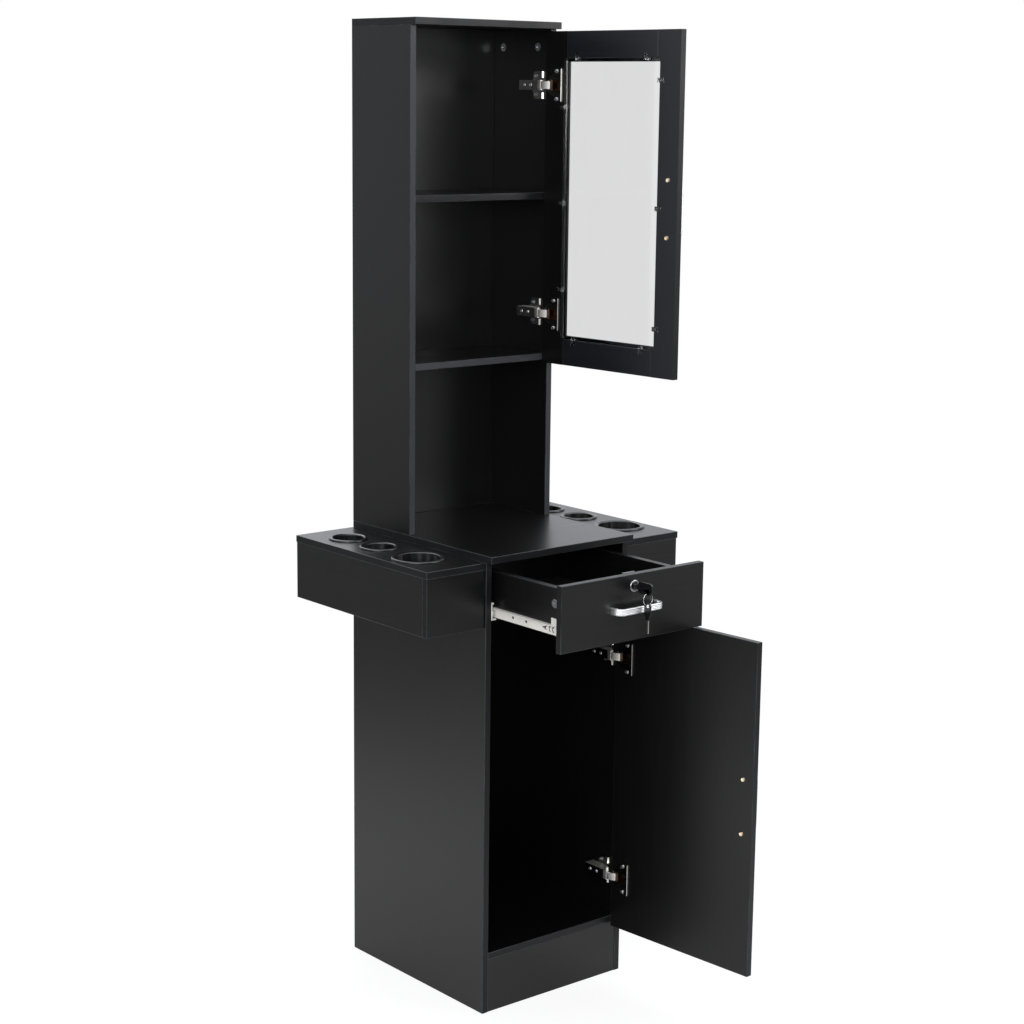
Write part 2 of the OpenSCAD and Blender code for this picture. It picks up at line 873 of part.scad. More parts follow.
// Two handle screws and the two cam discs of the drawer
module drawer_screws() {
    color([0.8, 0.68, 0.42])
        for (k = [-1, 1])
            translate([k * handle_pitch / 2, drawer_y - board, drawer_low + drawer_front_h / 2])
                handle_screw();
    both_sides() translate([-drawer_x + disc_t, drawer_y + drawer_disc_in, drawer_disc_z])
        rotate([0, -90, 0]) cam_disc();
}

// Screws that hold the cabinet rails, the mounting plates and the hinge arms
module cabinet_screws() {
    color("silver") {
        both_sides() for (d = rail_screws)
            translate([-side_in + rail_t, rail_front + d, rail_screw_z]) rotate([0, 90, 0])
                screw(rail_screw_l, rail_screw_r, 3.2, 1.2);
        for (z = lower_hinges) at_side(low_front, z) plate_screws();
        for (z = upper_hinges) at_side(hutch_front, z) plate_screws();
    }
}

// Lock

// The case stands behind the drawer front, its housing passes through the board
module lock_case() {
    color("silver") translate([0, drawer_y, lock_z]) difference() {
        union() {
            block([-case_w / 2, 0, -case_low], [case_w / 2, case_d, case_top]);
            translate([0, 0.5, 0]) rotate([90, 0, 0]) cylinder(h = board + 1, r = housing_r);
            translate([0, -board, 0]) rotate([90, 0, 0]) cylinder(h = bezel_t, r = bezel_r);
        }
        translate([0, case_wall + 0.1, 0]) rotate([90, 0, 0])
            cylinder(h = board + case_wall + bezel_t + cut, r = plug_r + run_gap);
        block([-bolt_w / 2 - bolt_slack, case_wall, -bolt_down - 1],
            [bolt_w / 2 + bolt_slack, case_wall + case_room, case_top + cut]);
    }
}

module lock_bolt() {
    color("silver") translate([0, drawer_y + case_wall + (case_room - bolt_t) / 2, lock_z])
        difference() {
            block([-bolt_w / 2, 0, -bolt_down], [bolt_w / 2, bolt_t, bolt_up]);
            block([-finger_l - 1, -cut, -window_down], [finger_l + 1, bolt_t + cut, window_up]);
        }
}

// The plug turns in the housing, and its finger lifts the bolt
module lock_plug() {
    plug_front = -board - bezel_t + 0.5;
    color("silver") translate([0, drawer_y, lock_z]) difference() {
        union() {
            translate([0, case_wall - 0.2, 0]) rotate([90, 0, 0])
                cylinder(h = case_wall - 0.2 - plug_front, r = plug_r);
            rotate([-90, 0, 0]) cylinder(h = case_wall + case_room - 0.4, r = tail_r);
            block([0, case_wall + 0.5, -finger_w / 2],
                [finger_l, case_wall + case_room - 0.5, finger_w / 2]);
        }
        block([-blade_t / 2 - run_gap, plug_front - cut, -blade_w / 2 - run_gap],
            [blade_t / 2 + run_gap, plug_front + blade_l / 2 + 1, blade_w / 2 + run_gap]);
    }
}

// Hole in a key's bow, flared on both faces so that the ring can tilt in it
eye_flare = 1.2;

module key_eye() {
    rotate([0, 90, 0]) translate([0, 0, -bow_t / 2 - cut])
        cylinder(h = bow_t + 2 * cut, r = key_hole_r);
    for (k = [0, 1]) mirror([k, 0, 0]) translate([bow_t / 2 - eye_flare, 0, 0])
        rotate([0, 90, 0])
            cylinder(h = eye_flare + cut, r1 = key_hole_r, r2 = key_hole_r + eye_flare + cut);
}

// Key shape in the YZ plane: the blade runs along +Y from the collar, the bow along -Y
module key_shape(stem, width, long, hole_in, hole_low = 0) {
    color([0.08, 0.08, 0.08]) union() {
        difference() {
            rotate([90, 0, 90]) translate([0, 0, -bow_t / 2]) linear_extrude(bow_t) union() {
                translate([-collar_l - 1, -collar_w / 2]) square([collar_l + 1, collar_w]);
                translate([-collar_l - long, -width / 2]) rounded(long, width, bow_r);
            }
            translate([0, hole_in - long - collar_l, -hole_low]) key_eye();
        }
        block([-blade_t / 2, -collar_l / 2, -blade_w / 2], [blade_t / 2, stem, blade_w / 2]);
    }
}

key_y = drawer_y - board - bezel_t - key_out;
key_hole_y = key_y - collar_l - bow_l + key_hole_in;
key_hole_z = lock_z - key_hole_low;

// The key in the lock, pushed in by half its blade
module key() {
    translate([0, key_y, lock_z])
        key_shape(key_out + blade_l / 2, bow_w, bow_l, key_hole_in, key_hole_low);
}

// The ring hangs in the key's eye, and the spare key on the ring
wire_gap = 0.3;
ring_top = key_hole_z - key_hole_r + wire_r + wire_gap;
ring_z = ring_top - ring_r;
spare_eye = ring_z - ring_r + wire_r + wire_gap - key_hole_r;

module key_ring() {
    color("silver") translate([0, key_hole_y, ring_z]) rotate([90, 0, 0])
        rotate_extrude() translate([ring_r, 0]) circle(r = wire_r, $fn = 24);
}

module spare_key() {
    translate([0, key_hole_y, spare_eye + spare_hole_in - collar_l - spare_bow_l])
        rotate([-90, 0, 0]) key_shape(blade_l, spare_bow_w, spare_bow_l, spare_hole_in);
}

// Upper door, in door coordinates at the closed place and then swung open

module at_upper(z = 0) { at_door(hutch_front, upper_open, z) children(); }

rebate_r = 5;
rebate_edge = frame_w - rebate_w;

// A plate with round corners that fills the rebate's outline, less a gap all round
module rebate_plate(gap, y, t) {
    w = front_w - 2 * (rebate_edge + gap);
    h = upper_door_h - 2 * (rebate_edge + gap);
    translate([-front_w + rebate_edge + gap, y + t, upper_door_low + rebate_edge + gap])
        rotate([90, 0, 0]) linear_extrude(t) rounded(w, h, rebate_r);
}

module door_rebate() { rebate_plate(0, -rebate_d, rebate_d + cut); }

clip_l = 9;
clip_w = 8;
clip_over = 3;
// Places of the clips as parts of the pane's height and of the rebate's width
clip_hinge_side = [0.18, 0.49, 0.83];
clip_free_side = [0.075, 0.49, 0.925];
clip_rail_x = [0.14, 0.86];
pane_gap = 0.3;

// Calls its child at each clip, with the rebate's edge at x = 0 and the pane towards -X
module at_clips() {
    edge = rebate_edge;
    low = upper_door_low + edge;
    open_h = upper_door_h - 2 * edge;
    for (f = clip_hinge_side) translate([-edge, 0, low + f * open_h]) children();
    for (f = clip_free_side)
        translate([-front_w + edge, 0, low + f * open_h]) rotate([0, 180, 0]) children();
    for (f = clip_rail_x) {
        x = -edge - f * (front_w - 2 * edge);
        translate([x, 0, upper_door_top - edge]) rotate([0, -90, 0]) children();
        translate([x, 0, upper_door_low + edge]) rotate([0, 90, 0]) children();
    }
}

module clip_bores() {
    at_clips() translate([clip_l / 2 - 0.5, cut, 0]) rotate([90, 0, 0])
        cylinder(h = clip_screw_l + cut, r = clip_screw_r + hole_gap);
}

module clip() {
    color([0.1, 0.1, 0.1]) difference() {
        union() {
            block([0, 0, -clip_w / 2], [clip_l, clip_t, clip_w / 2]);
            block([-clip_over - 1, -(rebate_d - pane_t), -clip_w / 2], [-0.3, clip_t, clip_w / 2]);
            block([-1, 0, -clip_w / 2], [1, clip_t, clip_w / 2]);
        }
        translate([clip_l / 2 - 0.5, clip_t + cut, 0]) rotate([90, 0, 0])
            cylinder(h = clip_t + 2 * cut, r = clip_screw_r + hole_gap);
    }
}

module pane_clips() { at_upper() at_clips() clip(); }

module upper_hinge_stile() {
    color(black) at_upper() difference() {
        block([-frame_w, -board, upper_door_low], [0, 0, upper_door_top]);
        door_rebate();
        for (z = upper_hinges) translate([0, 0, z]) cup_bores();
        clip_bores();
    }
}

module upper_free_stile() {
    color(black) at_upper() difference() {
        block([-front_w, -board, upper_door_low], [-front_w + frame_w, 0, upper_door_top]);
        door_rebate();
        clip_bores();
        upper_handle_place() handle_bores();
    }
}

module upper_top_rail() {
    color(black) at_upper() difference() {
        block([-front_w + frame_w, -board, upper_door_top - frame_w], [-frame_w, 0, upper_door_top]);
        door_rebate();
        clip_bores();
    }
}

module upper_bottom_rail() {
    color(black) at_upper() difference() {
        block([-front_w + frame_w, -board, upper_door_low], [-frame_w, 0, upper_door_low + frame_w]);
        door_rebate();
        clip_bores();
    }
}

module upper_pane() {
    color([0.85, 0.87, 0.88, 0.3]) at_upper() rebate_plate(pane_gap, -rebate_d, pane_t);
}

// Upright handle on a door's outer face, about halfway up
upper_handle_rise = -4.5;
lower_handle_rise = 5;

module door_handle_place(z) {
    translate([-front_w + handle_edge, -board, z]) rotate([0, 90, 0]) children();
}

module upper_handle_place() {
    door_handle_place((upper_door_low + upper_door_top) / 2 + upper_handle_rise) children();
}

module lower_handle_place() {
    door_handle_place((lower_door_low + lower_door_top) / 2 + lower_handle_rise) children();
}

module door_handle_screws() {
    color([0.8, 0.68, 0.42])
        for (k = [-1, 1]) translate([k * handle_pitch / 2, 0, 0]) handle_screw();
}

module upper_handle() { color("silver") at_upper() upper_handle_place() handle(); }

module upper_hinge_cups() {
    color("silver") at_upper() for (z = upper_hinges) translate([0, 0, z]) hinge_cup();
}

module upper_door_screws() {
    at_upper() {
        upper_handle_place() door_handle_screws();
        color("silver") for (z = upper_hinges) translate([0, 0, z]) cup_screws();
        color("silver") at_clips() translate([clip_l / 2 - 0.5, clip_t, 0]) rotate([-90, 0, 0])
            screw(clip_screw_l, clip_screw_r, 2.4, 1.2);
    }
}

module upper_hinge_links() {
    color("silver") for (z = upper_hinges) at_side(hutch_front, z) hinge_link(upper_open);
}

// Lower door

module at_lower(z = 0) { at_door(low_front, lower_open, z) children(); }

module lower_door_panel() {
    color(black) at_lower() difference() {
        block([-front_w, -board, lower_door_low], [0, 0, lower_door_top]);
        for (z = lower_hinges) translate([0, 0, z]) cup_bores();
        lower_handle_place() handle_bores();
    }
}

module lower_handle() { color("silver") at_lower() lower_handle_place() handle(); }

module lower_hinge_cups() {
    color("silver") at_lower() for (z = lower_hinges) translate([0, 0, z]) hinge_cup();
}

module lower_door_screws() {
    at_lower() {
        lower_handle_place() door_handle_screws();
        color("silver") for (z = lower_hinges) translate([0, 0, z]) cup_screws();
    }
}

module lower_hinge_links() {
    color("silver") for (z = lower_hinges) at_side(low_front, z) hinge_link(lower_open);
}

// Hinge parts on the cabinet

module hinge_plates() {
    color("silver") {
        for (z = lower_hinges) at_side(low_front, z) hinge_plate();
        for (z = upper_hinges) at_side(hutch_front, z) hinge_plate();
    }
}

module hinge_arms() {
    color("silver") {
        for (z = lower_hinges) at_side(low_front, z) hinge_arm();
        for (z = upper_hinges) at_side(hutch_front, z) hinge_arm();
    }
}

left_side_panel();
right_side_panel();
lower_back_panel();
bottom_panel();
kick_plate();
counter_panel();
hutch_left_panel();
hutch_right_panel();
hutch_top_panel();
hutch_back_panel();
upper_shelf();
lower_shelf();
left_wing_top();
left_wing_side();
left_wing_front();
left_wing_back();
left_wing_bottom();
right_wing_top();
right_wing_side();
right_wing_front();
right_wing_back();
right_wing_bottom();
small_cup_holders();
large_cup_holders();
cam_discs();
cabinet_rails();
hinge_plates();
hinge_arms();
cabinet_screws();
cabinet_rollers();
drawer_front();
drawer_left_side();
drawer_right_side();
drawer_back();
drawer_bottom();
drawer_rails();
drawer_rollers();
drawer_handle();
drawer_screws();
lock_case();
lock_bolt();
lock_plug();
key();
key_ring();
spare_key();
upper_hinge_stile();
upper_free_stile();
upper_top_rail();
upper_bottom_rail();
upper_pane();
pane_clips();
upper_handle();
upper_hinge_cups();
upper_door_screws();
upper_hinge_links();
lower_door_panel();
lower_handle();
lower_hinge_cups();
lower_door_screws();
lower_hinge_links();
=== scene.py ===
import json
import math

import bmesh
import bpy
from mathutils import Matrix, Vector

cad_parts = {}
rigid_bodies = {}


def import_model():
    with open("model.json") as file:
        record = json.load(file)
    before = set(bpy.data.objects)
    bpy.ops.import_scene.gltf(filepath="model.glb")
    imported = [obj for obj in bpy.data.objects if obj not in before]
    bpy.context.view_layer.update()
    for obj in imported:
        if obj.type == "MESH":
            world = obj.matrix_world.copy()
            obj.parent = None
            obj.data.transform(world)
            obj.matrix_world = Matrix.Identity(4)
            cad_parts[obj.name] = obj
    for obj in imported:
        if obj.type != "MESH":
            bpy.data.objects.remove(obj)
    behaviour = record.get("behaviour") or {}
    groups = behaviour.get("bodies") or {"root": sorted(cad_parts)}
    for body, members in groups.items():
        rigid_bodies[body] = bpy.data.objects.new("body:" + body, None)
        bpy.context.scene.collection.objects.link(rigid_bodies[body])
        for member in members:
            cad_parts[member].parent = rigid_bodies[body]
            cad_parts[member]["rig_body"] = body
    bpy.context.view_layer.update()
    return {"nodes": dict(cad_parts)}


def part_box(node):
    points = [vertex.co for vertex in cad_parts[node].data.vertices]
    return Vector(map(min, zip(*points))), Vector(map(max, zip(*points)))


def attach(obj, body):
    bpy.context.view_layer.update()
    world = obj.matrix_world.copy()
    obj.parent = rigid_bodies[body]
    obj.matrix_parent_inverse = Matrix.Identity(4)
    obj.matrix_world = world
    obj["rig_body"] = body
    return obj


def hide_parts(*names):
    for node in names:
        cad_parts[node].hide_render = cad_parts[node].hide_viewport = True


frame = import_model()
mm = 0.001

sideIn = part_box("right_side_panel")[0].x  # inner face of the right side panels
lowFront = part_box("left_side_panel")[0].y
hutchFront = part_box("hutch_left_panel")[0].y
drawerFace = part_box("drawer_front")[0].y
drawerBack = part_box("drawer_front")[1].y


# Camera, floor, lamps and world

camera = {
    "place": (-2.36423, -2.74168, 1.56758),
    "heading": 0.69429,  # radians from +Y towards +X
    "tilt": 0.19224,
    "roll": 0.01146,
    "lens": 75.66,
    "sensor": 36.0,
    "clip": (0.05, 60),
}


def makeCamera():
    az, el, roll = camera["heading"], camera["tilt"], camera["roll"]
    ahead = Vector((math.sin(az) * math.cos(el), math.cos(az) * math.cos(el), -math.sin(el)))
    side = Vector((math.cos(az), -math.sin(az), 0))
    over = side.cross(ahead)
    right = math.cos(roll) * side + math.sin(roll) * over
    up = -math.sin(roll) * side + math.cos(roll) * over
    data = bpy.data.cameras.new("camera")
    data.lens = camera["lens"]
    data.sensor_width = camera["sensor"]
    data.clip_start, data.clip_end = camera["clip"]
    eye = bpy.data.objects.new("camera", data)
    turn = Matrix((right, up, -ahead)).transposed().to_4x4()
    eye.matrix_world = Matrix.Translation(camera["place"]) @ turn
    bpy.context.scene.collection.objects.link(eye)
    bpy.context.scene.camera = eye


studio = {
    "floorRadius": 14.0,
    "floorSides": 96,
    "floorDrop": 0.0003,
    "floorWhite": 0.88,
    "shadowShare": 0.28,  # how much of the lamps' shadow the camera sees on the white floor
    "shadowLift": 0.40,  # added under it, so that the floor beside the shadow is white
    "nearFloor": 1.1,  # radius of the brightly lit patch of floor
    "farFloor": 2.0,
    "ownLight": 0.35,  # share of the near floor's tone in a reflection that is not lamplight
    "floorLevels": [  # radius and level of the floor that shows in reflections
        (0.0, 0.8), (0.4, 0.8), (0.9, 1.2), (1.3, 0.95), (1.65, 0.58), (2.0, 0.36),
        (2.45, 0.26), (3.6, 0.25), (4.7, 0.27), (6.0, 0.34), (10.0, 0.45),
    ],
    "rightWay": (0.707, -0.707, 0),  # the far floor on this side has a level of its own
    "rightSpread": (-0.2, 0.5),  # as cosines
    "rightStart": (1.2, 2.2),  # as radii
    "rightLevel": 0.41,
    "roomLevel": 0.47,
    "roomTint": (0.965, 0.985, 1.035),
    "softLevel": 0.50,
    "brightParts": [  # direction, level and how far the bright part spreads, as cosines
        ((0.63, 0.75, 0.12), 1.05, 0.35, 0.92),
        ((-0.74, -0.66, 0.08), 1.15, 0.45, 0.88),
        ((-0.95, 0.31, 0.0), 0.84, 0.84, 0.95),
        ((0.0, 0.0, 1.0), 2.6, 0.45, 0.85),
    ],
    "lamps": [  # place, aim, size, watts
        ((-3.2, -2.0, 2.6), (0, 0, 0.9), 2.6, 60),
        ((-2.3, -2.9, 2.0), (0, 0, 0.8), 1.3, 22),
        ((2.6, -2.8, 2.6), (0, 0, 1.0), 2.6, 66),
        ((0.6, 2.8, 3.2), (0, 0, 1.0), 2.2, 34),
    ],
}


def node(tree, kind, **values):
    made = tree.nodes.new(kind)
    for name, value in values.items():
        setattr(made, name, value)
    return made


def join(tree, source, target):
    tree.links.new(source, target)


# Gives a socket a number, a colour or another node's output
def feed(tree, value, socket):
    if isinstance(value, (int, float)):
        socket.default_value = value
    elif isinstance(value, tuple):
        socket.default_value = (*value, 1)
    else:
        join(tree, value, socket)


def maths(tree, operation, first, second):
    made = node(tree, "ShaderNodeMath", operation=operation)
    feed(tree, first, made.inputs[0])
    feed(tree, second, made.inputs[1])
    return made.outputs[0]


def vectorMaths(tree, operation, first, second=None):
    made = node(tree, "ShaderNodeVectorMath", operation=operation)
    join(tree, first, made.inputs[0])
    if second is not None:
        made.inputs[1].default_value = second
    return made.outputs["Vector" if operation == "NORMALIZE" else "Value"]


def mixNumber(tree, share, low, high):
    made = node(tree, "ShaderNodeMix", data_type="FLOAT")
    for number, value in ((0, share), (2, low), (3, high)):
        feed(tree, value, made.inputs[number])
    return made.outputs[0]


def blended(tree, share, first, second):
    made = node(tree, "ShaderNodeMix", data_type="RGBA")
    for number, value in ((0, share), (6, first), (7, second)):
        feed(tree, value, made.inputs[number])
    return made.outputs[2]


def ranged(tree, value, low, high, fromLow=0.3, fromHigh=0.7, kind="LINEAR"):
    made = node(tree, "ShaderNodeMapRange", interpolation_type=kind)
    join(tree, value, made.inputs["Value"])
    limits = {"From Min": fromLow, "From Max": fromHigh, "To Min": low, "To Max": high}
    for name, number in limits.items():
        made.inputs[name].default_value = number
    return made.outputs["Result"]


def glow(tree, strength=1.0):
    made = node(tree, "ShaderNodeEmission")
    feed(tree, strength, made.inputs["Strength"])
    return made.outputs[0]


def mixShader(tree, share, first, second):
    made = node(tree, "ShaderNodeMixShader")
    for socket, source in zip(made.inputs, (share, first, second)):
        join(tree, source, socket)
    return made.outputs[0]


# 1 for what the camera sees, also through the glass
def seenShare(tree, ray):
    return maths(tree, "MAXIMUM", ray.outputs["Is Camera Ray"], ray.outputs["Is Transmission Ray"])


def makeWorld():
    world = bpy.data.worlds.new("studio")
    bpy.context.scene.world = world
    world.use_nodes = True
    tree = world.node_tree
    background = tree.nodes["Background"]
    around = node(tree, "ShaderNodeTexCoord").outputs["Generated"]
    room = studio["roomLevel"]
    for direction, level, start, full in studio["brightParts"]:
        facing = vectorMaths(tree, "DOT_PRODUCT", around, Vector(direction).normalized())
        part = ranged(tree, facing, studio["roomLevel"], level, start, full, "SMOOTHSTEP")
        room = maths(tree, "MAXIMUM", room, part)
    ray = node(tree, "ShaderNodeLightPath")
    seen = seenShare(tree, ray)
    shiny = mixNumber(tree, ray.outputs["Is Glossy Ray"], studio["softLevel"], room)
    join(tree, mixNumber(tree, seen, shiny, 1.0), background.inputs["Strength"])
    tint = blended(tree, seen, studio["roomTint"], (1.0, 1.0, 1.0))
    join(tree, tint, background.inputs["Color"])


def floorLevel(tree, place, away):
    radius = studio["floorRadius"]
    levels = node(tree, "ShaderNodeValToRGB")
    join(tree, maths(tree, "DIVIDE", away, radius), levels.inputs["Fac"])
    stops = levels.color_ramp.elements
    while len(stops) > 1:
        stops.remove(stops[-1])
    for number, (distance, level) in enumerate(studio["floorLevels"]):
        stop = stops[0] if number == 0 else stops.new(distance / radius)
        stop.position = distance / radius
        stop.color = (level, level, level, 1)
    facing = vectorMaths(tree, "NORMALIZE", place)
    turned = vectorMaths(tree, "DOT_PRODUCT", facing, studio["rightWay"])
    toRight = maths(tree, "MULTIPLY", ranged(tree, turned, 0, 1, *studio["rightSpread"]),
                    ranged(tree, away, 0, 1, *studio["rightStart"]))
    return mixNumber(tree, toRight, levels.outputs["Color"], studio["rightLevel"])


# The camera sees a white floor with a faint shadow, and reflections see its own levels
def floorFinish():
    made = bpy.data.materials.new("paleFloor")
    made.use_nodes = True
    tree = made.node_tree
    tree.nodes.remove(tree.nodes["Principled BSDF"])
    place = node(tree, "ShaderNodeTexCoord").outputs["Object"]
    away = vectorMaths(tree, "LENGTH", place)
    far = ranged(tree, away, 0, 1, studio["nearFloor"], studio["farFloor"], "SMOOTHSTEP")
    diffuse = node(tree, "ShaderNodeBsdfDiffuse")
    diffuse.inputs["Color"].default_value = (*(studio["floorWhite"],) * 3, 1)
    lit = diffuse.outputs[0]

    room = glow(tree, floorLevel(tree, place, away))
    hidden = mixShader(tree, mixNumber(tree, far, studio["ownLight"], 1.0), lit, room)

    lifted = node(tree, "ShaderNodeAddShader")
    join(tree, lit, lifted.inputs[0])
    join(tree, glow(tree, studio["shadowLift"]), lifted.inputs[1])
    share = maths(tree, "MULTIPLY", maths(tree, "SUBTRACT", 1, far), studio["shadowShare"])
    shown = mixShader(tree, share, glow(tree), lifted.outputs[0])

    both = mixShader(tree, seenShare(tree, node(tree, "ShaderNodeLightPath")), hidden, shown)
    join(tree, both, tree.nodes["Material Output"].inputs["Surface"])
    return made


def makeFloor():
    bm = bmesh.new()
    bmesh.ops.create_circle(bm, cap_ends=True, segments=studio["floorSides"],
                            radius=studio["floorRadius"])
    bmesh.ops.translate(bm, vec=(0, 0, -studio["floorDrop"]), verts=bm.verts)
    mesh = bpy.data.meshes.new("floor")
    bm.to_mesh(mesh)
    bm.free()
    mesh.materials.append(floorFinish())
    floor = bpy.data.objects.new("floor", mesh)
    bpy.context.scene.collection.objects.link(floor)


def makeLamps():
    for number, (place, aim, size, watts) in enumerate(studio["lamps"]):
        data = bpy.data.lights.new(f"softLamp{number}", "AREA")
        data.size = size
        data.energy = watts
        lamp = bpy.data.objects.new(f"softLamp{number}", data)
        turn = (Vector(aim) - Vector(place)).to_track_quat("-Z", "Y")
        lamp.matrix_world = Matrix.Translation(place) @ turn.to_matrix().to_4x4()
        bpy.context.scene.collection.objects.link(lamp)


bpy.context.scene.view_settings.view_transform = "Standard"
makeCamera()
makeWorld()
makeFloor()
makeLamps()
print("stage: camera, world, floor and lamps")


# Finishes

def newFinish(name, colour, metal=0.0, rough=0.4, ior=1.5):
    made = bpy.data.materials.new(name)
    made.use_nodes = True
    shader = made.node_tree.nodes["Principled BSDF"]
    shader.inputs["Base Color"].default_value = (*colour, 1)
    shader.inputs["Metallic"].default_value = metal
    shader.inputs["Roughness"].default_value = rough
    shader.inputs["IOR"].default_value = ior
    return made, made.node_tree, shader


# Object coordinates, turned about Z first and then stretched
def placeOf(tree, scale, turn=0.0):
    coords = node(tree, "ShaderNodeTexCoord")
    turned = node(tree, "ShaderNodeMapping")
    turned.inputs["Rotation"].default_value = (0, 0, -turn)
    join(tree, coords.outputs["Object"], turned.inputs["Vector"])
    stretched = node(tree, "ShaderNodeMapping")
    stretched.inputs["Scale"].default_value = scale if isinstance(scale, tuple) else (scale,) * 3
    join(tree, turned.outputs["Vector"], stretched.inputs["Vector"])
    return stretched.outputs["Vector"]


def grainScale(axis, scales):
    along, across = scales
    return tuple(along if a == axis else across for a in "xyz")


def noise(tree, scale, detail, rough, turn=0.0):
    made = node(tree, "ShaderNodeTexNoise")
    made.inputs["Scale"].default_value = 1
    made.inputs["Detail"].default_value = detail
    made.inputs["Roughness"].default_value = rough
    join(tree, placeOf(tree, scale, turn), made.inputs["Vector"])
    return made.outputs["Fac"]


# Each layer is a height, its depth in metres and a strength
def relief(tree, shader, *layers):
    before = None
    for height, depth, strength in layers:
        made = node(tree, "ShaderNodeBump")
        made.inputs["Distance"].default_value = depth
        made.inputs["Strength"].default_value = strength
        join(tree, height, made.inputs["Height"])
        if before is not None:
            join(tree, before, made.inputs["Normal"])
        before = made.outputs["Normal"]
    join(tree, before, shader.inputs["Normal"])


# In every finish's settings a noise is a scale, a detail and a roughness, a relief is a depth
# in metres and a strength, and a spread is the part of a noise's range that takes effect
laminate = {
    "dark": (0.0022, 0.0022, 0.0024),
    "pale": (0.0038, 0.0038, 0.0041),
    "deep": (0.0014, 0.0014, 0.0015),
    "lift": (0.0058, 0.0062, 0.0095),  # painted light: the upper door's laminate is painted paler and bluer
    "rough": (0.285, 0.335),
    "cloudRough": (-0.012, 0.018),
    "streak": ((5.0, 520.0), 3, 0.5),  # scale along and across the grain
    "pore": ((60.0, 2200.0), 2, 0.5),
    "poreSpread": (0.60, 0.74),
    "poreShare": 0.7,
    "cloud": (4.0, 3, 0.5),
    "grit": (680.0, 2, 0.5),
    "streakRelief": (0.00002, 0.16),
    "gritRelief": (0.00004, 0.14),
    "poreRelief": (0.00003, 0.45),
}


# The door's copy of the laminate is painted paler and bluer, as painted light on the upper door's
# face
def makeLaminate(name, axis, turn=0.0, lifted=False):
    lift = Vector(laminate["lift"]) if lifted else Vector()
    dark, pale, deep = (tuple(Vector(laminate[key]) + lift) for key in ("dark", "pale", "deep"))
    made, tree, shader = newFinish(name, dark)

    def grainNoise(key):
        scales, detail, rough = laminate[key]
        return noise(tree, grainScale(axis, scales), detail, rough, turn)

    streak, pore = grainNoise("streak"), grainNoise("pore")
    cloud = noise(tree, *laminate["cloud"], turn)
    grit = noise(tree, *laminate["grit"], turn)
    tone = blended(tree, ranged(tree, streak, 0, 1), dark, pale)
    pored = ranged(tree, pore, 0, laminate["poreShare"], *laminate["poreSpread"])
    join(tree, blended(tree, pored, tone, deep), shader.inputs["Base Color"])
    rough = maths(tree, "ADD", ranged(tree, streak, *laminate["rough"]),
                  ranged(tree, cloud, *laminate["cloudRough"]))
    join(tree, rough, shader.inputs["Roughness"])
    relief(tree, shader, (streak, *laminate["streakRelief"]), (grit, *laminate["gritRelief"]),
           (pore, *laminate["poreRelief"]))
    return made


edgeBand = {
    "specular": 0.28,
    "tones": {  # darkest and palest
        "edge": ((0.0055, 0.0057, 0.0066), (0.0090, 0.0093, 0.0108)),
        # painted light: the lower shelf's band is painted paler against the shade over its edge
        "shelfEdge": ((0.045, 0.0465, 0.053), (0.055, 0.0565, 0.064)),
        # painted light: the hutch panels' band is painted paler, as light falls brighter on it than
        # lower down
        "lightEdge": ((0.032, 0.0355, 0.0415), (0.040, 0.0435, 0.0505)),
        # painted highlight: the rounded arrises are painted paler in patches
        "worn": ((0.016, 0.0165, 0.019), (0.055, 0.057, 0.062)),
    },
    "rough": (0.30, 0.40),
    "wornRough": (0.22, 0.34),
    "wornSpread": (0.36, 0.66),
    "leastWorn": 0.1,
    "speckle": (420, 3, 0.6),
    "patch": (16, 3, 0.55),
    "relief": (0.00002, 0.3),
}


# The kind for the rounded arrises is painted paler in patches, a painted highlight along them
def makeEdgeBand(kind):
    worn = kind == "worn"
    dark, pale = edgeBand["tones"][kind]
    made, tree, shader = newFinish(kind + "Band", dark)
    shader.inputs["Specular IOR Level"].default_value = edgeBand["specular"]
    speckle = noise(tree, *edgeBand["speckle"])
    patch = noise(tree, *edgeBand["patch"])
    if worn:
        share = ranged(tree, patch, edgeBand["leastWorn"], 1, *edgeBand["wornSpread"])
    else:
        share = ranged(tree, speckle, 0, 1)
    join(tree, blended(tree, share, dark, pale), shader.inputs["Base Color"])
    rough = ranged(tree, patch, *edgeBand["wornRough" if worn else "rough"])
    join(tree, rough, shader.inputs["Roughness"])
    relief(tree, shader, (speckle, *edgeBand["relief"]))
    return made


hardboard = {
    "dark": (0.011, 0.011, 0.011), "pale": (0.021, 0.021, 0.021), "rough": (0.5, 0.68),
    "weave": (600, 3, 0.6), "relief": (0.00006, 0.5),
}


def makeHardboard():
    made, tree, shader = newFinish("blackHardboard", hardboard["dark"])
    weave = noise(tree, *hardboard["weave"])
    tone = blended(tree, ranged(tree, weave, 0, 1), hardboard["dark"], hardboard["pale"])
    join(tree, tone, shader.inputs["Base Color"])
    join(tree, ranged(tree, weave, *hardboard["rough"]), shader.inputs["Roughness"])
    relief(tree, shader, (weave, *hardboard["relief"]))
    return made


metal = {
    "grain": (260, 4, 0.6), "grainRelief": (0.00003, 0.35),
    "brushed": ((9, 1100), 4, 0.6), "brushedRelief": (0.00001, 0.35),
    "patch": (45, 3, 0.55), "patchSpread": (0.35, 0.68), "patchRough": (0, 0.06),
    "patchRelief": (0.0001, 0.08),
}


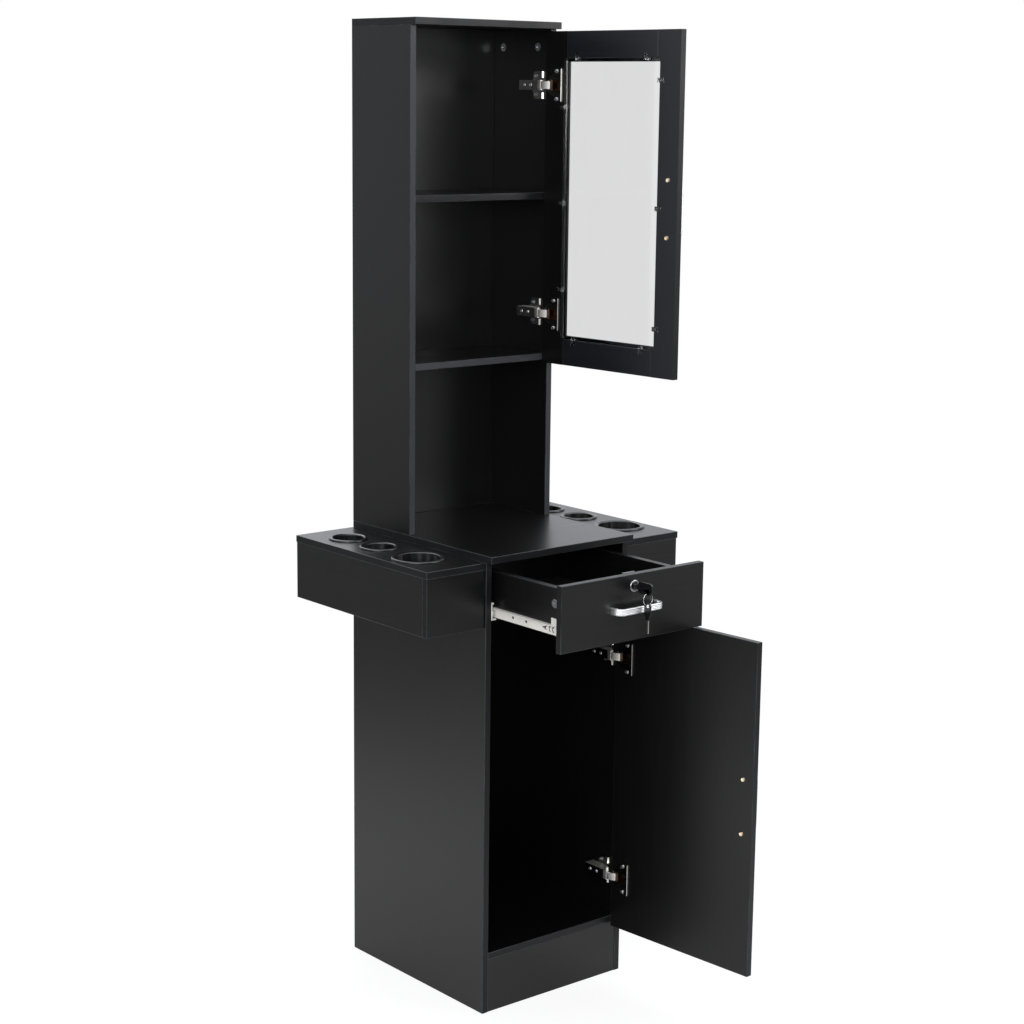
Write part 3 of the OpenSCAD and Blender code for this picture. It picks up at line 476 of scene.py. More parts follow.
# Two colours in patches, and two roughnesses in a grain that may run along one axis
def makeMetal(name, colour, dull, rough, axis=None):
    made, tree, shader = newFinish(name, colour, metal=1.0)
    kind = "brushed" if axis else "grain"
    scale, *rest = metal[kind]
    grain = noise(tree, grainScale(axis, scale) if axis else scale, *rest)
    patch = noise(tree, *metal["patch"])
    tone = blended(tree, ranged(tree, patch, 0, 1, *metal["patchSpread"]), colour, dull)
    join(tree, tone, shader.inputs["Base Color"])
    mixed = maths(tree, "ADD", ranged(tree, grain, *rough),
                  ranged(tree, patch, *metal["patchRough"]))
    join(tree, mixed, shader.inputs["Roughness"])
    relief(tree, shader, (grain, *metal[kind + "Relief"]), (patch, *metal["patchRelief"]))
    return made


paint = {
    "peel": (380, 2, 0.5), "patch": (30, 4, 0.6), "patchSpread": (0.45, 0.72),
    "peelRelief": (0.00006, 0.3), "patchRelief": (0.0001, 0.06),
}


def makePaint(name, colour, dull, rough):
    made, tree, shader = newFinish(name, colour)
    peel = noise(tree, *paint["peel"])
    patch = noise(tree, *paint["patch"])
    tone = blended(tree, ranged(tree, patch, 0, 1, *paint["patchSpread"]), colour, dull)
    join(tree, tone, shader.inputs["Base Color"])
    join(tree, ranged(tree, peel, *rough), shader.inputs["Roughness"])
    relief(tree, shader, (peel, *paint["peelRelief"]), (patch, *paint["patchRelief"]))
    return made


plastic = {"fine": (900, 3, 0.55), "smear": ((22, 22, 9), 4, 0.6), "relief": (0.00002, 0.4)}


def makePlastic(name, dark, pale, rough):
    made, tree, shader = newFinish(name, dark)
    fine = noise(tree, *plastic["fine"])
    smear = noise(tree, *plastic["smear"])
    join(tree, blended(tree, ranged(tree, fine, 0, 1), dark, pale), shader.inputs["Base Color"])
    join(tree, ranged(tree, smear, *rough), shader.inputs["Roughness"])
    relief(tree, shader, (fine, *plastic["relief"]))
    return made


bore = {
    # painted reflection: pale is the tone of the streaks that stand in for the room reflected on
    # the wall
    "dark": (0.006, 0.006, 0.0065), "pale": (0.036, 0.036, 0.039), "rough": (0.24, 0.40),
    "drag": ((95, 95, 3), 2, 0.5), "dragSpread": (0.52, 0.68), "fine": (900, 2, 0.5),
    "dragRelief": (0.0002, 0.15), "fineRelief": (0.00002, 0.3),
}


# Cup wall with upright paler streaks, painted reflections of the room, which also carry a slight
# relief
def makeBore():
    made, tree, shader = newFinish("cupBorePlastic", bore["dark"])
    drag = noise(tree, *bore["drag"])
    fine = noise(tree, *bore["fine"])
    tone = blended(tree, ranged(tree, drag, 0, 1, *bore["dragSpread"]), bore["dark"], bore["pale"])
    join(tree, tone, shader.inputs["Base Color"])
    join(tree, ranged(tree, drag, *bore["rough"]), shader.inputs["Roughness"])
    relief(tree, shader, (drag, *bore["dragRelief"]), (fine, *bore["fineRelief"]))
    return made


clear = {
    "ior": 1.45, "wave": ((7, 7, 4), 1, 0.5), "waveDepth": 0.0002, "film": ((28, 28, 9), 3, 0.6),
}


def makeClear(name, colour, pale, rough, wavy):
    made, tree, shader = newFinish(name, colour, rough=rough[0], ior=clear["ior"])
    shader.inputs["Transmission Weight"].default_value = 1.0
    wave = noise(tree, *clear["wave"])
    film = noise(tree, *clear["film"])
    if rough[1] > rough[0]:
        join(tree, ranged(tree, film, *rough), shader.inputs["Roughness"])
    join(tree, blended(tree, ranged(tree, film, 0, 1), colour, pale), shader.inputs["Base Color"])
    relief(tree, shader, (wave, clear["waveDepth"], wavy))
    return made


doorAngle = {"upper": 93.5, "lower": 94.8}  # degrees that each door stands open in the frame

# Each metal is a name, its colour, its duller colour and its roughness
metals = {
    "nickel": ("brightNickel", (0.80, 0.77, 0.72), (0.70, 0.675, 0.63), (0.07, 0.15)),
    "satinNickel": ("satinNickel", (0.88, 0.86, 0.82), (0.80, 0.78, 0.74), (0.36, 0.46)),
    # painted shade: the bodies of the hinge plates and arms are painted a darker nickel than their
    # wings and noses
    "darkNickel": ("greyNickel", (0.34, 0.335, 0.325), (0.20, 0.20, 0.195), (0.12, 0.24)),
    "chrome": ("ringChrome", (0.74, 0.75, 0.77), (0.66, 0.67, 0.69), (0.05, 0.12)),
    "smokyChrome": ("lockChrome", (0.42, 0.42, 0.44), (0.33, 0.33, 0.35), (0.06, 0.13)),
    # painted shade: the lock plug's face is painted near black, for the shade in its recess and the
    # key's reflection
    "plugFace": ("plugFace", (0.075, 0.075, 0.08), (0.055, 0.055, 0.06), (0.14, 0.22)),
    "zinc": ("zincPlate", (0.58, 0.60, 0.62), (0.46, 0.48, 0.50), (0.20, 0.34)),
    "dullZinc": ("dullZincPlate", (0.25, 0.26, 0.27), (0.18, 0.19, 0.20), (0.32, 0.46)),
    "copper": ("brownedSteel", (0.16, 0.10, 0.065), (0.075, 0.05, 0.035), (0.22, 0.38)),
    "paleGold": ("paleGoldScrew", (0.95, 0.84, 0.62), (0.90, 0.78, 0.55), (0.09, 0.18)),
}
brushed = ((0.90, 0.905, 0.91), (0.85, 0.855, 0.86), (0.33, 0.39))
cream = ((0.80, 0.79, 0.74), (0.70, 0.69, 0.63), (0.28, 0.42))
nylon = ((0.70, 0.70, 0.67), (0.76, 0.76, 0.73), (0.32, 0.5))
rimBlack = ((0.0055, 0.0055, 0.0058), (0.0095, 0.0095, 0.010), (0.20, 0.28))
bowBlack = ((0.005, 0.005, 0.0055), (0.009, 0.009, 0.010), (0.12, 0.26))
clipClear = ((0.72, 0.72, 0.72), (0.62, 0.62, 0.62), (0.10, 0.22), 0.1)
glassClear = ((0.765, 0.765, 0.77), (0.775, 0.775, 0.78), (0.0, 0.0), 0.001)

finish = {
    "x": makeLaminate("blackLaminateX", "x"),
    "y": makeLaminate("blackLaminateY", "y"),
    "z": makeLaminate("blackLaminateZ", "z"),
    # The upper door's rails and stiles take the copy with painted light
    "doorRail": makeLaminate("blackLaminateDoor", "x", math.radians(doorAngle["upper"]), True),
    "doorStile": makeLaminate("blackLaminateStile", "z", lifted=True),
    **{kind: makeEdgeBand(kind) for kind in edgeBand["tones"]},
    **{kind: makeMetal(*settings) for kind, settings in metals.items()},
    "hardboard": makeHardboard(),
    "handleX": makeMetal("brushedHandleX", *brushed, "x"),
    "handleZ": makeMetal("brushedHandleZ", *brushed, "z"),
    "cream": makePaint("creamPaint", *cream),
    "roller": makePlastic("whiteNylon", *nylon),
    "rim": makePlastic("rimBlackPlastic", *rimBlack),
    "bow": makePlastic("keyBowPlastic", *bowBlack),
    "bore": makeBore(),
    "clip": makeClear("clearClipPlastic", *clipClear),
    "glass": makeClear("clearGlass", *glassClear),
}
print("finishes:", len(finish))


# Shared modelling steps

def pieceName(nodeName):
    first, *rest = nodeName.split("_")
    return first + "".join(word.capitalize() for word in rest)


weld = {"coarse": 1e-6, "fine": 1e-7}  # metres
flatAngle = math.radians(0.6)  # faces within it are one flat face
sharpAngle = math.radians(38)  # edges over it are rounded


# The CAD node's own form as a closed mesh, with its flat faces whole unless told otherwise
def mergedCopy(nodeName, whole=True):
    bm = bmesh.new()
    bm.from_mesh(frame["nodes"][nodeName].data)
    bmesh.ops.remove_doubles(bm, verts=bm.verts, dist=weld["coarse"])
    if whole:
        bmesh.ops.dissolve_limit(bm, angle_limit=flatAngle, verts=bm.verts, edges=bm.edges,
                                 use_dissolve_boundaries=False)
    return bm


def sharpEdges(bm, least=0.0, where=None):
    return [e for e in bm.edges if len(e.link_faces) == 2 and e.calc_length() > least * mm
            and e.calc_face_angle(0) > sharpAngle
            and (where is None or where((e.verts[0].co + e.verts[1].co) / 2))]


# The width is in millimetres
def roundEdges(bm, edges, width, segments=2):
    if not edges:
        return []
    done = bmesh.ops.bevel(bm, geom=edges, offset=width * mm, offset_type="OFFSET",
                           affect="EDGES", segments=segments, profile=0.5, material=-1,
                           clamp_overlap=True)
    return done["faces"]


def edgesOf(made):
    return [e for e in made if isinstance(e, bmesh.types.BMEdge)]


def vertsOf(made):
    return [v for v in made if isinstance(v, bmesh.types.BMVert)]


def finishPiece(bm, nodeName, finishes, smooth=40):
    name = pieceName(nodeName)
    for face in bm.faces:
        face.smooth = True
    for edge in bm.edges:
        soft = len(edge.link_faces) == 2 and edge.calc_face_angle(0) < math.radians(smooth)
        edge.smooth = soft
    mesh = bpy.data.meshes.new(name)
    bm.to_mesh(mesh)
    bm.free()
    for one in finishes:
        mesh.materials.append(finish[one])
    piece = bpy.data.objects.new(name, mesh)
    bpy.context.scene.collection.objects.link(piece)
    even = piece.modifiers.new("evenNormals", "WEIGHTED_NORMAL")
    even.keep_sharp = True
    even.weight = 100
    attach(piece, frame["nodes"][nodeName]["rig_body"])
    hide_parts(nodeName)


# Boards

boardGrain = {
    "left_side_panel": "z", "right_side_panel": "z", "lower_back_panel": "z",
    "bottom_panel": "x", "kick_plate": "x", "counter_panel": "x", "hutch_left_panel": "z",
    "hutch_right_panel": "z", "hutch_top_panel": "x", "hutch_back_panel": "z",
    "upper_shelf": "x", "lower_shelf": "x", "left_wing_top": "y", "left_wing_side": "y",
    "left_wing_front": "x", "left_wing_back": "x", "left_wing_bottom": "y",
    "right_wing_top": "y", "right_wing_side": "y", "right_wing_front": "x",
    "right_wing_back": "x", "right_wing_bottom": "y", "drawer_front": "x",
    "drawer_left_side": "y", "drawer_right_side": "y", "drawer_back": "x",
    "upper_hinge_stile": "z", "upper_free_stile": "doorStile", "upper_top_rail": "doorRail",
    "upper_bottom_rail": "doorRail", "lower_door_panel": "z",
}
bandOf = {
    # The hutch panels' bands are painted paler, as painted light
    "hutch_left_panel": "lightEdge", "hutch_right_panel": "lightEdge",
    # The lower shelf's band is painted paler, as painted light
    "lower_shelf": "shelfEdge",
}
boardEdge = {"width": 0.8, "segments": 3, "shortest": 6, "broad": 0.9}
boardThick = 12.0


# The direction that most of a board's surface looks in
def broadWay(bm):
    areas, ways = {}, {}
    for face in bm.faces:
        key = tuple(round(abs(c), 2) for c in face.normal)
        areas[key] = areas.get(key, 0) + face.calc_area()
        ways.setdefault(key, face.normal.copy())
    return ways[max(areas, key=areas.get)]


def makeBoard(nodeName, grain):
    bm = mergedCopy(nodeName)
    way = broadWay(bm)
    for face in bm.faces:
        face.material_index = 0 if abs(face.normal.dot(way)) > boardEdge["broad"] else 1
    edges = sharpEdges(bm, boardEdge["shortest"])
    # The rounded arrises take the painted highlight finish
    for face in roundEdges(bm, edges, boardEdge["width"], boardEdge["segments"]):
        face.material_index = 2
    finishPiece(bm, nodeName, [grain, bandOf.get(nodeName, "edge"), "worn"])


for nodeName, grain in boardGrain.items():
    makeBoard(nodeName, grain)
print("boards:", len(boardGrain))


# A CAD node's form with its edges rounded. A bevel is a test for the edge's middle, or None,
# then the least length and the width in millimetres, and the segments
def dressed(nodeName, finishes, pick=None, bevels=(), smooth=40, shape=None, whole=True):
    bm = mergedCopy(nodeName, whole)
    if shape:
        shape(bm)
    for where, least, width, segments in bevels:
        roundEdges(bm, sharpEdges(bm, least, where), width, segments)
    if pick:
        for face in bm.faces:
            face.material_index = pick(face.calc_center_median())
    finishPiece(bm, nodeName, finishes, smooth)


# Hinge geometry, in millimetres from the side panel's inner front edge, as the door swings

hinge = {
    "nose": (-20.0, 1.5), "pinInDoor": (12.0, 3.0), "shutCorner": (11.0, -2.0),
    "flangeHigh": 60.0, "flangeCorner": 4.0, "flangeRound": 0.28,
    "rimAt": -40.5, "rimWide": 1.8, "rimLow": 0.1, "rimHigh": 2.3, "rimRound": 0.85,
    "rimShort": 1.5,  # how far the rim ends short of the flange
    "cupDeep": -0.6,  # inside the door past this, the cup is browned
    "lip": {"out": (-4.6, -1.9), "back": (16.0, 19.4), "height": (12.8, 23.6), "cut": 2.2},
    "plateOut": 2.2, "plateBack": 21.0, "plateHeight": (12.0, 25.0),
    "cap": {"out": (-23.4, -22.75), "back": (0.9, 9.0), "half": 8.4, "round": 0.25},
    "armBack": 9.1, "armHalf": 12.0,
    "linkBright": 19.0, "linkRound": 0.35,
}
doorFront = {"upper": hutchFront, "lower": lowFront}


# Door coordinates: x runs back from the hinge edge, y = 0 is the inner face, z is as it was
def doorPlace(which):
    q = math.radians(doorAngle[which])
    shutPin = Vector(hinge["shutCorner"]) - Vector(hinge["pinInDoor"])
    link = shutPin - Vector(hinge["nose"])
    pin = Vector(hinge["nose"]) + Matrix.Rotation(-q / 2, 2) @ link
    corner = (pin + Matrix.Rotation(q, 2) @ Vector(hinge["pinInDoor"])) * mm
    place = Matrix.Translation((sideIn + corner.x, doorFront[which] + corner.y, 0))
    return place @ Matrix.Rotation(q, 4, "Z")


def hingeHeights(which):
    low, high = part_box(f"{which}_hinge_cups")
    half = hinge["flangeHigh"] / 2 * mm
    return low.z + half, high.z - half


# Cup holders

cup = {
    "small": {"inner": 27.0, "rim": 34.5, "backs": (81.0, 172.0)},
    "large": {"inner": 37.5, "rim": 46.0, "backs": (282.5,)},
    "depth": 80.0, "wall": 2.0, "rimHigh": 3.5, "out": 68.0, "boreTop": 0.4, "steps": 96,
    "floorRound": 4.0, "floorSteps": 5, "throat": (8.0, 8.8), "step": 0.4, "rimUnder": 0.3,
    "rimShape": [  # share of the rim's width from outside in, and of its height there
        (0.0, 0.13), (0.015, 0.32), (0.05, 0.53), (0.11, 0.73), (0.19, 0.88), (0.29, 0.97),
        (0.40, 1.0), (0.52, 0.98), (0.64, 0.91), (0.76, 0.79), (0.86, 0.65), (0.93, 0.52),
        (0.98, 0.38), (1.0, 0.25),
    ],
}


def arc(x, z, radius, start, end, count):
    angles = [math.radians(start + (end - start) * i / count) for i in range(count + 1)]
    return [(x + radius * math.cos(a), z + radius * math.sin(a)) for a in angles]


# Turns a profile of (radius, height) in millimetres about the upright line through the centre
def spunRing(bm, profile, centre, steps, closed=False):
    verts = [bm.verts.new(Vector(centre) + Vector((r * mm, 0, z * mm))) for r, z in profile]
    pairs = list(zip(verts, verts[1:])) + ([(verts[-1], verts[0])] if closed else [])
    edges = [bm.edges.new(pair) for pair in pairs]
    bmesh.ops.spin(bm, geom=verts + edges, cent=centre, axis=(0, 0, 1), dvec=(0, 0, 0),
                   angle=2 * math.pi, steps=steps, use_merge=True, use_duplicate=False)
    bmesh.ops.remove_doubles(bm, verts=bm.verts, dist=weld["fine"])


# Section of a cup: floor, wall, a domed rim that rests on the board, a throat and the bore
def cupProfile(inner, rim):
    wall, depth, high, curve = cup["wall"], cup["depth"], cup["rimHigh"], cup["floorRound"]
    outer, inside = inner + wall, inner - cup["step"]
    count = cup["floorSteps"]
    points = [(0.0, -depth)] + arc(outer - curve, -depth + curve, curve, -90, 0, count)
    points += [(outer, 0.0), (rim - cup["rimUnder"], 0.0)]
    points += [(rim - (rim - inner) * share, high * level) for share, level in cup["rimShape"]]
    points += [(inner, -cup["throat"][0]), (inside, -cup["throat"][1])]
    points += [(inside, -depth + wall + curve + 1)]
    points += arc(inside - curve, -depth + wall + curve, curve, 0, -90, count)
    return points + [(0.0, -depth + wall)]


def makeCups(size):
    settings = cup[size]
    bm = bmesh.new()
    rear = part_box("left_side_panel")[1].y
    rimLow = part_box("left_wing_top")[1].z
    outward = sideIn + (boardThick + cup["out"]) * mm
    for side in (-1, 1):
        for back in settings["backs"]:
            centre = (side * outward, rear - back * mm, rimLow)
            spunRing(bm, cupProfile(settings["inner"], settings["rim"]), centre, cup["steps"])
    bmesh.ops.recalc_face_normals(bm, faces=bm.faces)
    for face in bm.faces:
        inBore = face.calc_center_median().z < rimLow + cup["boreTop"] * mm
        face.material_index = 1 if inBore else 0
    finishPiece(bm, f"{size}_cup_holders", ["rim", "bore"], 50)


makeCups("small")
makeCups("large")
print("cup holders")


# Bow handles

handle = {
    "pitch": 96.0, "out": 22.0, "strapHigh": 11.0, "strapThick": 4.5, "bend": 16.0,
    "bendSteps": 14, "corner": 1.1, "cornerSteps": 4, "backCorner": 0.6, "backSteps": 2,
    "grooves": (2.4, 0.0, -2.4), "grooveDeep": 0.35, "grooveHalf": (0.7, 0.3),
    "footWide": 8.0, "footLong": 9.0, "footRound": 0.7,
    "footShy": (1.2, 0.4),  # how much narrower and lower than the strap the foot is
    "footIn": 1.2,
    "doorWide": 318.0, "fromEdge": 22.0,
}


# Section of the strap: outward thickness and height, with shallow grooves along its outer face
def strapProfile():
    t, h = handle["strapThick"] / 2, handle["strapHigh"] / 2
    r, back, deep = handle["corner"], handle["backCorner"], handle["grooveDeep"]
    wide, narrow = handle["grooveHalf"]
    steps, backSteps = handle["cornerSteps"], handle["backSteps"]
    points = arc(t - r, h - r, r, 90, 0, steps)
    for level in handle["grooves"]:
        points += [(t, level + wide), (t - deep, level + narrow),
                   (t - deep, level - narrow), (t, level - wide)]
    points += arc(t - r, -h + r, r, 0, -90, steps)
    points += arc(-t + back, -h + back, back, -90, -180, backSteps)
    return points + arc(-t + back, h - back, back, 180, 90, backSteps)


def pushed(bm, edges, shift):
    made = bmesh.ops.extrude_edge_only(bm, edges=edges)["geom"]
    bmesh.ops.translate(bm, vec=Vector(shift) * mm, verts=vertsOf(made))
    return [e for e in edgesOf(made) if len(e.link_faces) == 1]


def bentRound(bm, edges, centre):
    verts = list({v for e in edges for v in e.verts})
    made = bmesh.ops.spin(bm, geom=verts + edges, cent=Vector(centre) * mm, axis=(0, 0, -1),
                          dvec=(0, 0, 0), angle=math.pi / 2, steps=handle["bendSteps"],
                          use_merge=False, use_duplicate=False)
    return edgesOf(made["geom_last"])


def addFoot(bm, side, half):
    narrower, lower = handle["footShy"]
    size = (handle["footWide"] - narrower, handle["footLong"], handle["strapHigh"] - lower)
    made = bmesh.ops.create_cube(bm, size=1)["verts"]
    bmesh.ops.scale(bm, vec=Vector(size) * mm, verts=made)
    x = side * (half - handle["footIn"] - size[0] / 2)
    bmesh.ops.translate(bm, vec=Vector((x, -size[1] / 2, 0)) * mm, verts=made)
    roundEdges(bm, list({e for v in made for e in v.link_edges}), handle["footRound"], 3)


def sweptHandle(bm):
    half = (handle["pitch"] + handle["footWide"]) / 2
    bend, thick = handle["bend"], handle["strapThick"]
    mid, turnX, turnY = half - thick / 2, half - bend, -handle["out"] + bend
    ring = [bm.verts.new(((mid + u) * mm, 0, v * mm)) for u, v in strapProfile()]
    first = [bm.edges.new(pair) for pair in zip(ring, ring[1:] + ring[:1])]
    edges = pushed(bm, first, (0, turnY, 0))
    edges = bentRound(bm, edges, (turnX, turnY, 0))
    edges = pushed(bm, edges, (-2 * turnX, 0, 0))
    edges = bentRound(bm, edges, (-turnX, turnY, 0))
    edges = pushed(bm, edges, (0, -turnY, 0))
    bmesh.ops.edgeloop_fill(bm, edges=first)
    bmesh.ops.edgeloop_fill(bm, edges=edges)
    for side in (-1, 1):
        addFoot(bm, side, half)
    bmesh.ops.recalc_face_normals(bm, faces=bm.faces)


def makeHandle(nodeName, place, metal):
    bm = bmesh.new()
    sweptHandle(bm)
    bmesh.ops.transform(bm, matrix=place, verts=bm.verts)
    finishPiece(bm, nodeName, [metal], 35)


def handleOnDoor(which):
    low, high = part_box(f"{which}_handle")
    across = -(handle["doorWide"] - handle["fromEdge"]) * mm
    place = Matrix.Translation((across, -boardThick * mm, (low.z + high.z) / 2))
    return doorPlace(which) @ place @ Matrix.Rotation(math.pi / 2, 4, "Y")


frontLow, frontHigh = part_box("drawer_front")
handleAt = Matrix.Translation((0, drawerFace, (frontLow.z + frontHigh.z) / 2))
makeHandle("drawer_handle", handleAt, "handleX")
makeHandle("upper_handle", handleOnDoor("upper"), "handleZ")
makeHandle("lower_handle", handleOnDoor("lower"), "handleZ")
print("handles")


# Lock, keys and ring

lock = {
    "down": 20.0, "bezelRound": 1.5, "bezelOut": 1.6, "bezelInner": 9.5,
    "plugRound": 0.4, "plugInner": 6.0, "caseBack": 1.0,
}
lockAt = Vector((0, drawerBack, frontHigh.z - lock["down"] * mm))
keyShape = {
    "collarLong": 5.0, "collarHigh": 9.0, "collarRound": 0.6, "collarInBow": 1.0,
    "thick": 3.0, "corner": 5.0, "eye": 3.0, "out": 3.0, "inLock": 11.0, "plugOut": 2.0,
    "steps": 64,
    "edge": ((1.5, 0.0), (0.7, 0.0), (0.35, 0.10), (0.1, 0.35), (0.0, 0.8)),  # depth, inset
    "eyeEdge": ((0.0, 1.5), (0.15, 1.2), (1.05, 0.15), (1.25, 0.0), (1.5, 0.0)),
    "key": {"long": 33.0, "wide": 20.0, "eyeIn": 10.0, "eyeLow": 4.5},
    "spare": {"long": 24.0, "wide": 15.0, "eyeIn": 5.5, "eyeLow": 0.0},
}
blade = {
    "long": 22.0, "high": 6.0, "thick": 1.8, "root": 3.0, "round": 0.25,
    "cuts": (0.3, 0.6, 0.2, 0.5, 0.35, 0.6, 0.1), "cutStart": 0.25, "cutSpan": 0.62,
    "cutBelow": -1.0, "groove": (0.5, 1.6), "grooveStart": 0.5,
    "grooveInset": 0.15, "grooveDeep": 0.35,
}


def fromLock(point):
    return (point - lockAt).xz.length / mm


def onBezel(point):
    return point.y < drawerFace - lock["bezelOut"] * mm and fromLock(point) > lock["bezelInner"]


def onPlug(point):
    return point.y < drawerFace and fromLock(point) > lock["plugInner"]


def behindFront(point):
    return 1 if point.y > drawerBack else 0


dressed("lock_case", ["smokyChrome", "dullZinc"], behindFront, [
    (onBezel, 0.0, lock["bezelRound"], 5),
    (lambda p: p.y > drawerBack + lock["caseBack"] * mm, 6, 0.4, 2),
])
# The plug's front face takes the painted shade
dressed("lock_plug", ["plugFace", "dullZinc"], behindFront, [(onPlug, 0.0, lock["plugRound"], 3)])
dressed("lock_bolt", ["dullZinc"], bevels=[(None, 2, 0.4, 2)])


# A circle in the YZ plane whose quarters are pulled apart into a rounded oblong's corners
def loopOf(bm, x, radius, centre, reach=(0.0, 0.0)):
    made = bmesh.ops.create_circle(bm, cap_ends=False, segments=keyShape["steps"],
                                   radius=radius * mm)["verts"]
    for v in made:
        y = v.co.x + math.copysign(reach[0], v.co.x) * mm
        z = v.co.y + math.copysign(reach[1], v.co.y) * mm
        v.co = Vector((x * mm, y + centre[0] * mm, z + centre[1] * mm))
    return made


# Half of the bow as loops from its outline to its eye, bridged, and mirrored to the other face
def makeBow(bm, kind):
    shape, corner, half = keyShape[kind], keyShape["corner"], keyShape["thick"] / 2
    middle = (-shape["long"] / 2, 0.0)
    eyeAt = (-shape["long"] + shape["eyeIn"], -shape["eyeLow"])
    reach = (shape["long"] / 2 - corner, shape["wide"] / 2 - corner)
    loops = [loopOf(bm, half - deep, corner - inset, middle, reach)
             for deep, inset in keyShape["edge"]]
    loops += [loopOf(bm, half - deep, keyShape["eye"] + more, eyeAt)
              for deep, more in keyShape["eyeEdge"]]
    for first, second in zip(loops, loops[1:]):
        ring = set(first) | set(second)
        edges = [e for e in bm.edges if e.verts[0] in ring and e.verts[1] in ring
                 and (e.verts[0] in first) == (e.verts[1] in first)]
        bmesh.ops.bridge_loops(bm, edges=edges)
    bmesh.ops.mirror(bm, geom=bm.verts[:] + bm.edges[:] + bm.faces[:], axis="X",
                     matrix=Matrix.Identity(4), merge_dist=weld["coarse"])
    bmesh.ops.remove_doubles(bm, verts=bm.verts, dist=weld["fine"])
    return bm.verts[:]


# Corners and width in millimetres
def roundedBlock(bm, low, high, width, segments=3):
    made = bmesh.ops.create_cube(bm, size=1)["verts"]
    low, high = Vector(low) * mm, Vector(high) * mm
    bmesh.ops.scale(bm, vec=high - low, verts=made)
    bmesh.ops.translate(bm, vec=(low + high) / 2, verts=made)
    before = set(bm.verts) - set(made)
    roundEdges(bm, list({e for v in made for e in v.link_edges}), width, segments)
    return [v for v in bm.verts if v not in before]


# Flat blade along +Y with V cuts along its lower edge and a milled groove on both faces
def makeBlade(bm, stem):
    old = set(bm.verts)
    high, thick = blade["high"] / 2, blade["thick"] / 2
    roundedBlock(bm, (-thick, -blade["root"], -high), (thick, stem, high), blade["round"], 2)

    def cutAcross(place, way):
        verts = [v for v in bm.verts if v not in old]
        parts = verts + list({e for v in verts for e in v.link_edges})
        parts += list({f for v in verts for f in v.link_faces})
        bmesh.ops.bisect_plane(bm, geom=parts, dist=weld["fine"], plane_co=place, plane_no=way)

    low, top = (level * mm for level in blade["groove"])
    for z in (low, top):
        cutAcross((0, 0, z), (0, 0, 1))
    last = 2 * len(blade["cuts"]) - 1
    for i in range(last + 1):
        y = stem * (blade["cutStart"] + blade["cutSpan"] * i / last) * mm
        cutAcross((0, y, 0), (0, 1, 0))
        for v in bm.verts:
            onCut = v not in old and abs(v.co.y - y) < weld["coarse"]
            if onCut and v.co.z < blade["cutBelow"] * mm:
                v.co.z += blade["cuts"][i // 2] * mm
    for side in (-1, 1):
        strip = [f for f in bm.faces if f.verts[0] not in old and f.normal.x * side > 0.99
                 and low < f.calc_center_median().z < top
                 and f.calc_center_median().y > blade["grooveStart"] * mm]
        bmesh.ops.inset_region(bm, faces=strip, thickness=blade["grooveInset"] * mm,
                               depth=-blade["grooveDeep"] * mm, use_even_offset=True)


def makeKey(nodeName, kind, place, stem):
    bm = bmesh.new()
    collar, high, thick = keyShape["collarLong"], keyShape["collarHigh"] / 2, keyShape["thick"] / 2
    bmesh.ops.translate(bm, vec=(0, -collar * mm, 0), verts=makeBow(bm, kind))
    roundedBlock(bm, (-thick, -collar - keyShape["collarInBow"], -high), (thick, 0.0, high),
                 keyShape["collarRound"])
    old = set(bm.verts)
    makeBlade(bm, stem)
    bmesh.ops.recalc_face_normals(bm, faces=bm.faces)
    for face in bm.faces:
        face.material_index = 0 if face.verts[0] in old else 1
    bmesh.ops.transform(bm, matrix=place, verts=bm.verts)
    finishPiece(bm, nodeName, ["bow", "nickel"], 35)


ringLow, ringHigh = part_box("key_ring")
ringAt = (ringLow + ringHigh) / 2
keyAt = Matrix.Translation((0, drawerFace - (keyShape["plugOut"] + keyShape["out"]) * mm, lockAt.z))
spareLong = (keyShape["collarLong"] + keyShape["spare"]["long"]) * mm
spareAt = Matrix.Translation((0, ringAt.y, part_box("spare_key")[1].z - spareLong))
hangDown = Matrix.Rotation(math.pi, 4, "Z") @ Matrix.Rotation(-math.pi / 2, 4, "X")
makeKey("key", "key", keyAt, keyShape["out"] + keyShape["inLock"])
makeKey("spare_key", "spare", spareAt @ hangDown, blade["long"])

keyRing = {
    "radius": 10.0, "turns": 2, "wire": 0.36, "wireSides": 10, "pitch": 0.66, "steps": 64,
    "gap": 0.02,  # radians between the wire's ends
}


def makeKeyRing():
    bm = bmesh.new()
    turns, pitch = keyRing["turns"], keyRing["pitch"] * mm
    made = bmesh.ops.create_circle(bm, cap_ends=False, segments=keyRing["wireSides"],
                                   radius=keyRing["wire"] * mm)
    start = Vector((keyRing["radius"] * mm, -pitch * turns / 4, 0))
    bmesh.ops.translate(bm, vec=start, verts=made["verts"])
    steps = keyRing["steps"] * turns
    edges = bm.edges[:]
    made = bmesh.ops.spin(bm, geom=bm.verts[:] + edges, cent=(0, 0, 0), axis=(0, 1, 0),
                          dvec=(0, pitch * (turns - 1) / steps, 0), steps=steps,
                          angle=2 * math.pi * turns - keyRing["gap"], use_merge=False,
                          use_duplicate=False)
    bmesh.ops.edgeloop_fill(bm, edges=edges)
    bmesh.ops.edgeloop_fill(bm, edges=edgesOf(made["geom_last"]))
    bmesh.ops.recalc_face_normals(bm, faces=bm.faces)
    bmesh.ops.translate(bm, vec=ringAt, verts=bm.verts)
    finishPiece(bm, "key_ring", ["chrome"], 60)


makeKeyRing()
print("lock, keys and ring")


# Hinges

